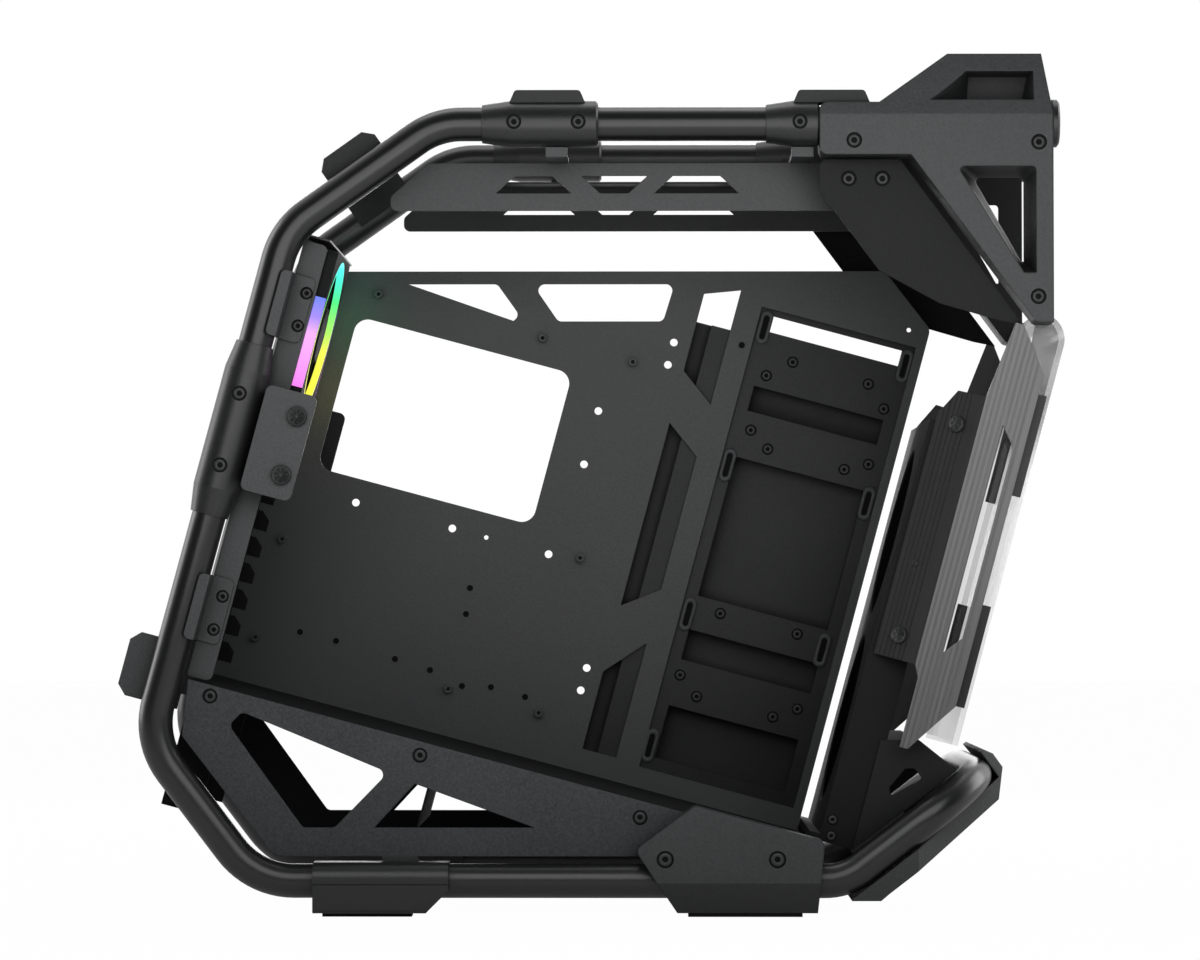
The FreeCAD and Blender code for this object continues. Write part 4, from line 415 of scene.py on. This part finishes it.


# Paints, plastics and plain metals: grain is in specks to the metre, edge in millimetres; hollow, inner and
# the dark top level are shares and levels of painted shade
PAINTS = {
    "tube_black": dict(color=cool(0.005), rough=0.31, grain=700, depth=0.06, edge=0.4, mottle=0.3,
                       spread=0.06, hollow=0.7, inner=0.3, Coat_Weight=0.4, Coat_Roughness=0.24),
    "coupler_black": dict(color=cool(0.01), rough=0.36, grain=650, depth=0.25, inner=0.3,
                          Coat_Weight=0.2, Coat_Roughness=0.3),
    "sheet_black": dict(color=cool(0.031), rough=0.44, grain=620, depth=0.45),
    "shroud_black": dict(color=cool(0.044), rough=0.5, grain=620, depth=0.45, dark_top=0.007,
                         Specular_IOR_Level=0.15),
    "plate_black": dict(color=cool(0.007), rough=0.6, grain=480, depth=0.6, mottle=0.6, inner=0.3,
                        Specular_IOR_Level=0.28),
    "tray_black": dict(color=cool(0.024), rough=0.5, grain=620, depth=0.45, edge=0.5, hollow=0.1, inner=0),
    "drive_black": dict(color=cool(0.017), rough=0.55, grain=620, depth=0.45, edge=0.6, hollow=0.92, inner=0,
                        Specular_IOR_Level=0.3),
    "moulded_black": dict(color=cool(0.028), rough=0.46, grain=520, depth=0.5, edge=1.8, hollow=0.94),
    "shade_black": dict(color=cool(0.003), rough=0.6, grain=620, depth=0.4, Specular_IOR_Level=0.25),
    "button_black": dict(color=cool(0.01), rough=0.25, grain=1800, depth=0.03),
    "port_steel": dict(color=gray(0.5), rough=0.3, grain=2500, depth=0.05, Metallic=1),
    "rubber": dict(color=cool(0.016), rough=0.65, grain=750, depth=0.3, edge=1.2),
    "screw_black": dict(color=cool(0.016), rough=0.36, grain=1800, depth=0.1, edge=0.3, hollow=0.3),
    # Near black for the painted shade in screw sockets, counterbores and holes; the slot covers use it too
    "recess_black": dict(color=cool(0.003), rough=0.7, grain=1800, depth=0.05, edge=0.2, hollow=0.3,
                         Specular_IOR_Level=0.15),
    "fan_black": dict(color=cool(0.009), rough=0.7, grain=1400, depth=0.12, Specular_IOR_Level=0.15),
}


def finishes():
    made = {name: coat(name, **paint) for name, paint in PAINTS.items()}
    made["fan_light"] = lamp_colours()
    made["fin_aluminium"] = brushed_fin()
    made["front_glass"] = smoked_glass()
    return made


# Words in the names of nodes whose finish differs from the rest of their slot
OWN_FINISH = (
    ("corner_plate", "plate_black"), ("chin_bracket", "plate_black"), ("front_fan_bracket", "shade_black"),
    ("supply_frame", "shade_black"), ("slot_covers", "recess_black"), ("supply_shroud", "shroud_black"),
    ("rear_foot", "coupler_black"), ("upper_rear_brace", "drive_black"), ("glass_strips", "coupler_black"),
    ("drive_frame", "drive_black"), ("drive_back", "drive_black"), ("cable_brackets", "drive_black"),
    ("standoffs", "tray_black"))


def dress_nodes(palette):
    slots = {part["node"]: part["material_slot"] for part in frame["record"]["subparts"]}
    for name, node in frame["nodes"].items():
        finish = next((own for word, own in OWN_FINISH if word in name), slots[name])
        node.data.materials.clear()
        node.data.materials.append(palette[finish])


# Outlines of small turned and pressed shapes, in millimetres
ROUND_STEPS = 24
KNURL_STEPS = 120
SOCKET_SIDES = 6


def turns(steps, shift=0):
    """Angles evenly spaced round a circle."""
    return [2 * math.pi * (step + shift) / steps for step in range(steps)]


def polar(radius, angle, height):
    return (radius * math.cos(angle), radius * math.sin(angle), height)


def ring(radius, height, steps=ROUND_STEPS):
    return [polar(radius, angle, height) for angle in turns(steps)]


def socket_ring(flat, height):
    """A six-sided outline, its flats at a distance from the axis."""
    wedge = 2 * math.pi / SOCKET_SIDES
    return [polar(flat / math.cos(angle % wedge - wedge / 2), angle, height) for angle in turns(ROUND_STEPS)]


def wavy_ring(radius, dip, waves, height):
    """A round outline that dips in evenly, for knurls and star recesses."""
    return [polar(radius - dip * (1 - math.cos(waves * angle)) / 2, angle, height)
            for angle in turns(KNURL_STEPS)]


def oblong(length, width, height):
    """A long hole's outline, its length along the matrix's Y."""
    reach = (length - width) / 2
    round_end = [polar(width / 2, angle, height) for angle in turns(ROUND_STEPS, 0.5)]
    return [(across, along + math.copysign(reach, along), level) for across, along, level in round_end]


def close_loops(mesh, matrix, loops, floor=True):
    """Joins loops of points, from the outside in, into one skin."""
    rows = [[mesh.verts.new(matrix @ (Vector(point) * MM)) for point in loop] for loop in loops]
    for outer, inner in zip(rows, rows[1:]):
        for step, point in enumerate(outer):
            following = (step + 1) % len(outer)
            face = mesh.faces.new((point, outer[following], inner[following], inner[step]))
            face.smooth = True
    if floor:
        mesh.faces.new(rows[-1])


def mesh_piece(name, mesh, material):
    data = bpy.data.meshes.new(name)
    bmesh.ops.recalc_face_normals(mesh, faces=mesh.faces)
    mesh.to_mesh(data)
    mesh.free()
    data.materials.append(material)
    piece = bpy.data.objects.new(name, data)
    bpy.context.scene.collection.objects.link(piece)
    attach(piece, CASE)
    return piece


# Socket screws: each loop's shares of the head's radius and height, from the outside in
SCREW_DOME = ((1, 0), (1, 0.35), (0.93, 0.7), (0.8, 0.95), (0.66, 1))
# The socket's floor and the counterbore's ring are dark pieces painted in as shade
SOCKET_WALL = ((0.45, 1), (0.42, 0.2))
SOCKET_SHADE_FLOOR = ((0.41, 0.2), (0.38, 0.25))
RECESS_SHADE_RING = ((1.32, 0), (1.3, 1), (0.98, 1), (0.96, 0))
RECESS_LIFT = 0.12
SCREW_HEIGHT = 1


def socket_screw(mesh, matrix, radius, height):
    """A low domed screw with a six-sided socket, its axis along the matrix's Z."""
    dome = [ring(radius * out, height * rise) for out, rise in SCREW_DOME]
    socket = [socket_ring(radius * out, height * rise) for out, rise in SOCKET_WALL]
    close_loops(mesh, matrix, dome + socket)


def screw_shadows(mesh, matrix, radius, height):
    """Painted shade: a dark floor at the bottom of a screw's socket, and a dark ring at the edge of its
    counterbore.
    """
    close_loops(mesh, matrix, [socket_ring(radius * out, height * rise) for out, rise in SOCKET_SHADE_FLOOR])
    close_loops(mesh, matrix, [ring(radius * out, RECESS_LIFT * rise) for out, rise in RECESS_SHADE_RING])


def screw_set(name, seats, palette):
    """One piece of screw heads and one of the dark pieces painted in as their shade, from seats and radii.
    """
    heads = bmesh.new()
    rims = bmesh.new()
    for matrix, radius in seats:
        socket_screw(heads, matrix, radius, SCREW_HEIGHT)
        screw_shadows(rims, matrix, radius, SCREW_HEIGHT)
    mesh_piece(name + "s", heads, palette["screw_black"])
    mesh_piece(name + "_rims", rims, palette["recess_black"])


# The frame's socket screws: the node they sit on, how their places are told, the places and the radius
TUBE_U = -346.3
TOP_RUN_Z = 578.5
CORNER_Z = 538.4
FOOT_Z = 42.3
SHEET_SCREW = 4.2
BLOCK_SCREW = 4.4
FOOT_SCREW = 4.8
CLIP_SCREW = 3.6
BRACKET_SCREW = 3.2
FRAME_SCREWS = (
    ("{side}_top_coupler", upright, ((-56.9, TOP_RUN_Z), (-10, TOP_RUN_Z)), SHEET_SCREW),
    ("{side}_front_coupler", upright, ((151.6, TOP_RUN_Z),), SHEET_SCREW),
    ("{side}_rear_coupler", chamber, ((TUBE_U, 301.1), (TUBE_U, 247.1)), SHEET_SCREW),
    ("{side}_handle_block", upright, ((191.1, 564.9), (325.5, 563.4), (324.8, 450.8)), BLOCK_SCREW),
    ("{side}_corner_plate", upright, ((187.9, CORNER_Z), (212.4, CORNER_Z)), BLOCK_SCREW),
    ("{side}_front_foot", upright, ((53.2, FOOT_Z), (134.5, FOOT_Z)), FOOT_SCREW),
    ("supply_shroud", upright, ((-279.4, 159.9), (-125.8, 116.7), (35, 71.4)), SHEET_SCREW),
    ("tube_clips", chamber, ((-320.5, 385.4), (-320.5, 360.6), (-322, 154.6), (-322, 129.5)), CLIP_SCREW),
    ("front_fan_bracket", chamber, ((152.3, 112.2), (154.4, 100.5)), BRACKET_SCREW))


def frame_screws(palette):
    """Socket screws of the couplers, handles, plates, feet, shroud, clips and bracket, on both sides."""
    seats = []
    for side, outward in SIDES:
        for node, where, places, radius in FRAME_SCREWS:
            seats += [(seat(node.format(side=side), where(along, 0, rise), outward, UP), radius)
                      for along, rise in places]
    screw_set("frame_screw", seats, palette)


DRIVE_SCREW = 3.4
DRIVE_SCREWS = ((41.3, 440.4), (24.1, 425), (102.4, 439.1), (119, 423.5), (23.4, 380.9), (39.9, 370),
                (118.6, 378.7), (101.4, 370), (37.3, 237), (99.1, 237), (19.4, 182.8), (36.1, 170),
                (114.1, 180.8), (97.3, 170))


def tray_screws(palette):
    """Socket screws of the drive frame."""
    seats = [(seat("drive_frame", chamber(u, 0, v), LEFT), DRIVE_SCREW) for u, v in DRIVE_SCREWS]
    screw_set("tray_screw", seats, palette)


# Thumb screws: radii and heights, and places along and up the chamber
KNURL_RIDGES = 30
KNURL_DIP = 0.05
STAR_POINTS = 8
PLATE_KNOB = (7.25, 5)
PLATE_KNOBS = ((-301, 251.5), (-301, 295.5))
FIN_KNOB = (6.4, 3.5)
FIN_KNOBS = ((165.8, 415.6), (164.6, 255.6))
FIN_PIN = (2.6, 1.6)
FIN_PINS = ((164.1, 368), (162.2, 309.7))


def thumb_screw(mesh, matrix, radius, height):
    """A knurled head with a chamfered edge, a dished face and a star of fine grooves."""
    def plain(out, rise):
        return ring(radius * out, height * rise, KNURL_STEPS)

    def waved(out, dip, waves, rise):
        return wavy_ring(radius * out, radius * dip, waves, height * rise)

    close_loops(mesh, matrix, [
        plain(0.97, 0), waved(1, KNURL_DIP, KNURL_RIDGES, 0.08), waved(1, KNURL_DIP, KNURL_RIDGES, 0.8),
        plain(0.9, 1), plain(0.84, 1), plain(0.8, 0.9),
        waved(0.72, 0.42, STAR_POINTS, 0.9), waved(0.68, 0.44, STAR_POINTS, 0.78),
        plain(0.2, 0.78), plain(0.17, 0.55)])


def plate_thumbscrews(palette):
    """The knurled screws of the side plates."""
    mesh = bmesh.new()
    for side, outward in SIDES:
        for u, v in PLATE_KNOBS:
            thumb_screw(mesh, seat(side + "_thumb_plate", chamber(u, 0, v), outward), *PLATE_KNOB)
    knobs = mesh_piece("plate_thumbscrews", mesh, palette["screw_black"])
    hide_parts("thumbscrews")


def fin_thumbscrews(palette):
    """The smaller knurled screws and the pins that hold the fins."""
    mesh = bmesh.new()
    for side, outward in SIDES:
        for shape, head, places in ((thumb_screw, FIN_KNOB, FIN_KNOBS), (socket_screw, FIN_PIN, FIN_PINS)):
            for u, v in places:
                shape(mesh, sloped_seat(side + "_fin", chamber(u, 0, v), outward), *head)
    mesh_piece("fin_thumbscrews", mesh, palette["screw_black"])


# Lugs of the drive frame: each loop's length, width and height, from the outside in
LUG_RIM = ((27, 10, 0), (26, 9.4, 1.2), (19, 4.4, 1.2), (18.6, 4.2, 0.2))
# The lug's hole is a dark floor painted in as the shade inside it
LUG_SHADE_FLOOR = ((19, 4.4, 0.2), (18, 3.8, 0.25))
DRIVE_LUGS = ((13, 461), (126, 460), (13, 350), (125, 349), (13, 230), (121, 230), (11, 124))
# Blind holes of the tray: each loop's radius and height, from the outside in
HOLE_RIM = ((2.9, 0), (2.8, 0.15), (2.4, 0.15), (2.35, 0.02))
# The hole's floor is a dark disc painted in as the shade inside it
HOLE_SHADE_FLOOR = ((2.4, 0.02), (2.3, 0.06))
TRAY_HOLES = ((114.2, 427.9), (-229.2, 205), (-201.2, 198), (-155.4, 184), (-128.2, 175.4), (-103.3, 163),
              (-80.8, 162.2), (-54.3, 154.5), (-97.1, 239.1), (-100.2, 218.9))


def pressed_marks(seats, outline, rim, bottom, names, palette):
    """One piece of raised rims and one of dark bottoms painted in as the shade inside them."""
    rims = bmesh.new()
    holes = bmesh.new()
    for matrix in seats:
        close_loops(rims, matrix, [outline(*loop) for loop in rim], floor=False)
        close_loops(holes, matrix, [outline(*loop) for loop in bottom])
    mesh_piece(names[0], rims, palette["tray_black"])
    mesh_piece(names[1], holes, palette["recess_black"])


def drive_lugs(palette):
    """Raised long-hole lugs along the edges of the drive frame, their holes dark floors of painted shade."""
    seats = [seat("drive_frame", chamber(u, 0, v), LEFT) for u, v in DRIVE_LUGS]
    pressed_marks(seats, oblong, LUG_RIM, LUG_SHADE_FLOOR, ("drive_lugs", "drive_lug_holes"), palette)


def tray_holes(palette):
    """Small blind holes of the tray's face, their bottoms dark discs of painted shade."""
    seats = [seat("board_tray", upright(x, 0, z), LEFT) for x, z in TRAY_HOLES]
    pressed_marks(seats, ring, HOLE_RIM, HOLE_SHADE_FLOOR, ("tray_hole_rims", "tray_holes"), palette)


# Floor and background
def background_rays(finish):
    """One for rays of the camera and through glass, and one for rays of a reflection; none for the rest."""
    camera, glossy, through = [finish.add("ShaderNodeLightPath", output=name) for name in (
        "Is Camera Ray", "Is Glossy Ray", "Is Transmission Ray")]
    direct = finish.add("ShaderNodeMath", {"operation": "MAXIMUM"}, {0: camera, 1: through})
    return direct, glossy


# The background's plain level on the object, and its level in reflections from front to back
PLAIN_LEVEL = 0.16
MIRROR_REACH = (-0.6, 0.5)
MIRROR_LEVELS = (0.04, 1)


def white_surroundings():
    """A white background for the camera, graded in reflections, with a plain level on the object."""
    world = bpy.data.worlds.new("studio")
    bpy.context.scene.world = world
    sky = Finish(world)
    direct, glossy = background_rays(sky)
    way = sky.along(sky.add("ShaderNodeTexCoord", output="Generated"), "Y")
    graded = sky.add("ShaderNodeMapRange", {"interpolation_type": "SMOOTHSTEP"}, {
        "Value": way, "From Min": MIRROR_REACH[0], "From Max": MIRROR_REACH[1],
        "To Min": MIRROR_LEVELS[0], "To Max": MIRROR_LEVELS[1]})
    mirrored = sky.blend(glossy, gray(PLAIN_LEVEL), graded)
    shade = sky.blend(direct, mirrored, gray(1))
    back = sky.add("ShaderNodeBackground", None, {"Color": shade, "Strength": 1})
    sky.output(back, "ShaderNodeOutputWorld")


# The floor's size and level in metres, its own grey, and its share of white for each kind of ray
FLOOR_REACH = 8
FLOOR_LEVEL = -0.0005
FLOOR_GRAY = 0.6
FLOOR_WHITE = 0.985
FLOOR_MIRRORED = 0.2


def pale_floor():
    data = bpy.data.meshes.new("floor")
    quarters = ((-1, -1), (1, -1), (1, 1), (-1, 1))
    corners = [(x * FLOOR_REACH, y * FLOOR_REACH, FLOOR_LEVEL) for x, y in quarters]
    data.from_pydata(corners, [], [(0, 1, 2, 3)])
    finish = Finish(bpy.data.materials.new("floor"))
    direct, glossy = background_rays(finish)
    matte = finish.add("ShaderNodeBsdfDiffuse", None, {"Color": gray(FLOOR_GRAY)})
    white = finish.add("ShaderNodeEmission", None, {"Color": gray(1), "Strength": 1})
    share = direct * FLOOR_WHITE + glossy * FLOOR_MIRRORED
    finish.output(finish.add("ShaderNodeMixShader", None, {"Fac": share, 1: matte, 2: white}))
    data.materials.append(finish.owner)
    floor = bpy.data.objects.new("floor", data)
    bpy.context.scene.collection.objects.link(floor)


# Lamps: place, target and size in metres, power, and whether reflections show the lamp
STUDIO_LAMPS = (
    ("front_fill", (0.1, -1.05, 0.45), (-0.1, 0, 0.35), (1.1, 0.9), 5.4, False),
    ("front_panel", (0.06, -0.85, 0.56), (0.06, 0, 0.56), (1.1, 0.62), 4, True),
    ("overhead", (0, 0.25, 2.1), (0, 0, 0.35), (1.8, 0.7), 6, True),
    ("rear_side", (-1.9, 0.4, 0.9), (0, 0, 0.3), (1, 1.6), 11, True),
    ("front_side", (1.9, 0.5, 0.9), (0, 0, 0.3), (1, 1.6), 14, True),
    ("back_panel", (0.1, 1.5, 0.8), (0, 0, 0.35), (1.6, 1.1), 16, True))
WHITE = (1, 1, 1)
# The fan's glows: height up the chamber, colour and power; they start and aim at these offsets from the fan
FAN_GLOWS = (
    ("cyan_glow", 405, (0.1, 1, 0.8), 0.004),
    ("green_glow", 375, (0.15, 1, 0.15), 0.007),
    ("yellow_glow", 325, (1, 0.95, 0.1), 0.006))
GLOW_SIZE = (0.01, 0.04)
GLOW_START = (6, 20)
GLOW_AIM = (16, 65)


def lamp(name, place, target, size, power, mirrored=True, color=WHITE):
    data = bpy.data.lights.new(name, "AREA")
    data.shape = "RECTANGLE"
    data.size, data.size_y = size
    data.energy = power
    data.color = color
    light = bpy.data.objects.new(name, data)
    bpy.context.scene.collection.objects.link(light)
    light.location = place
    light.rotation_euler = (Vector(target) - Vector(place)).to_track_quat("-Z", "Y").to_euler()
    light.visible_camera = False
    light.visible_glossy = mirrored


def studio_lamps():
    for settings in STUDIO_LAMPS:
        lamp(*settings)


def fan_glow():
    """The coloured light that the fan's ring throws on the tray and the panel's flange."""
    for name, v, color, power in FAN_GLOWS:
        place, aim = [chamber(FAN_U + along, y, v) for along, y in (GLOW_START, GLOW_AIM)]
        lamp(name, place, aim, GLOW_SIZE, power, color=color)


bpy.context.scene.view_settings.view_transform = "Standard"
photo_camera()
palette = finishes()
dress_nodes(palette)
frame_screws(palette)
tray_screws(palette)
plate_thumbscrews(palette)
fin_thumbscrews(palette)
drive_lugs(palette)
tray_holes(palette)
white_surroundings()
pale_floor()
studio_lamps()
fan_glow()
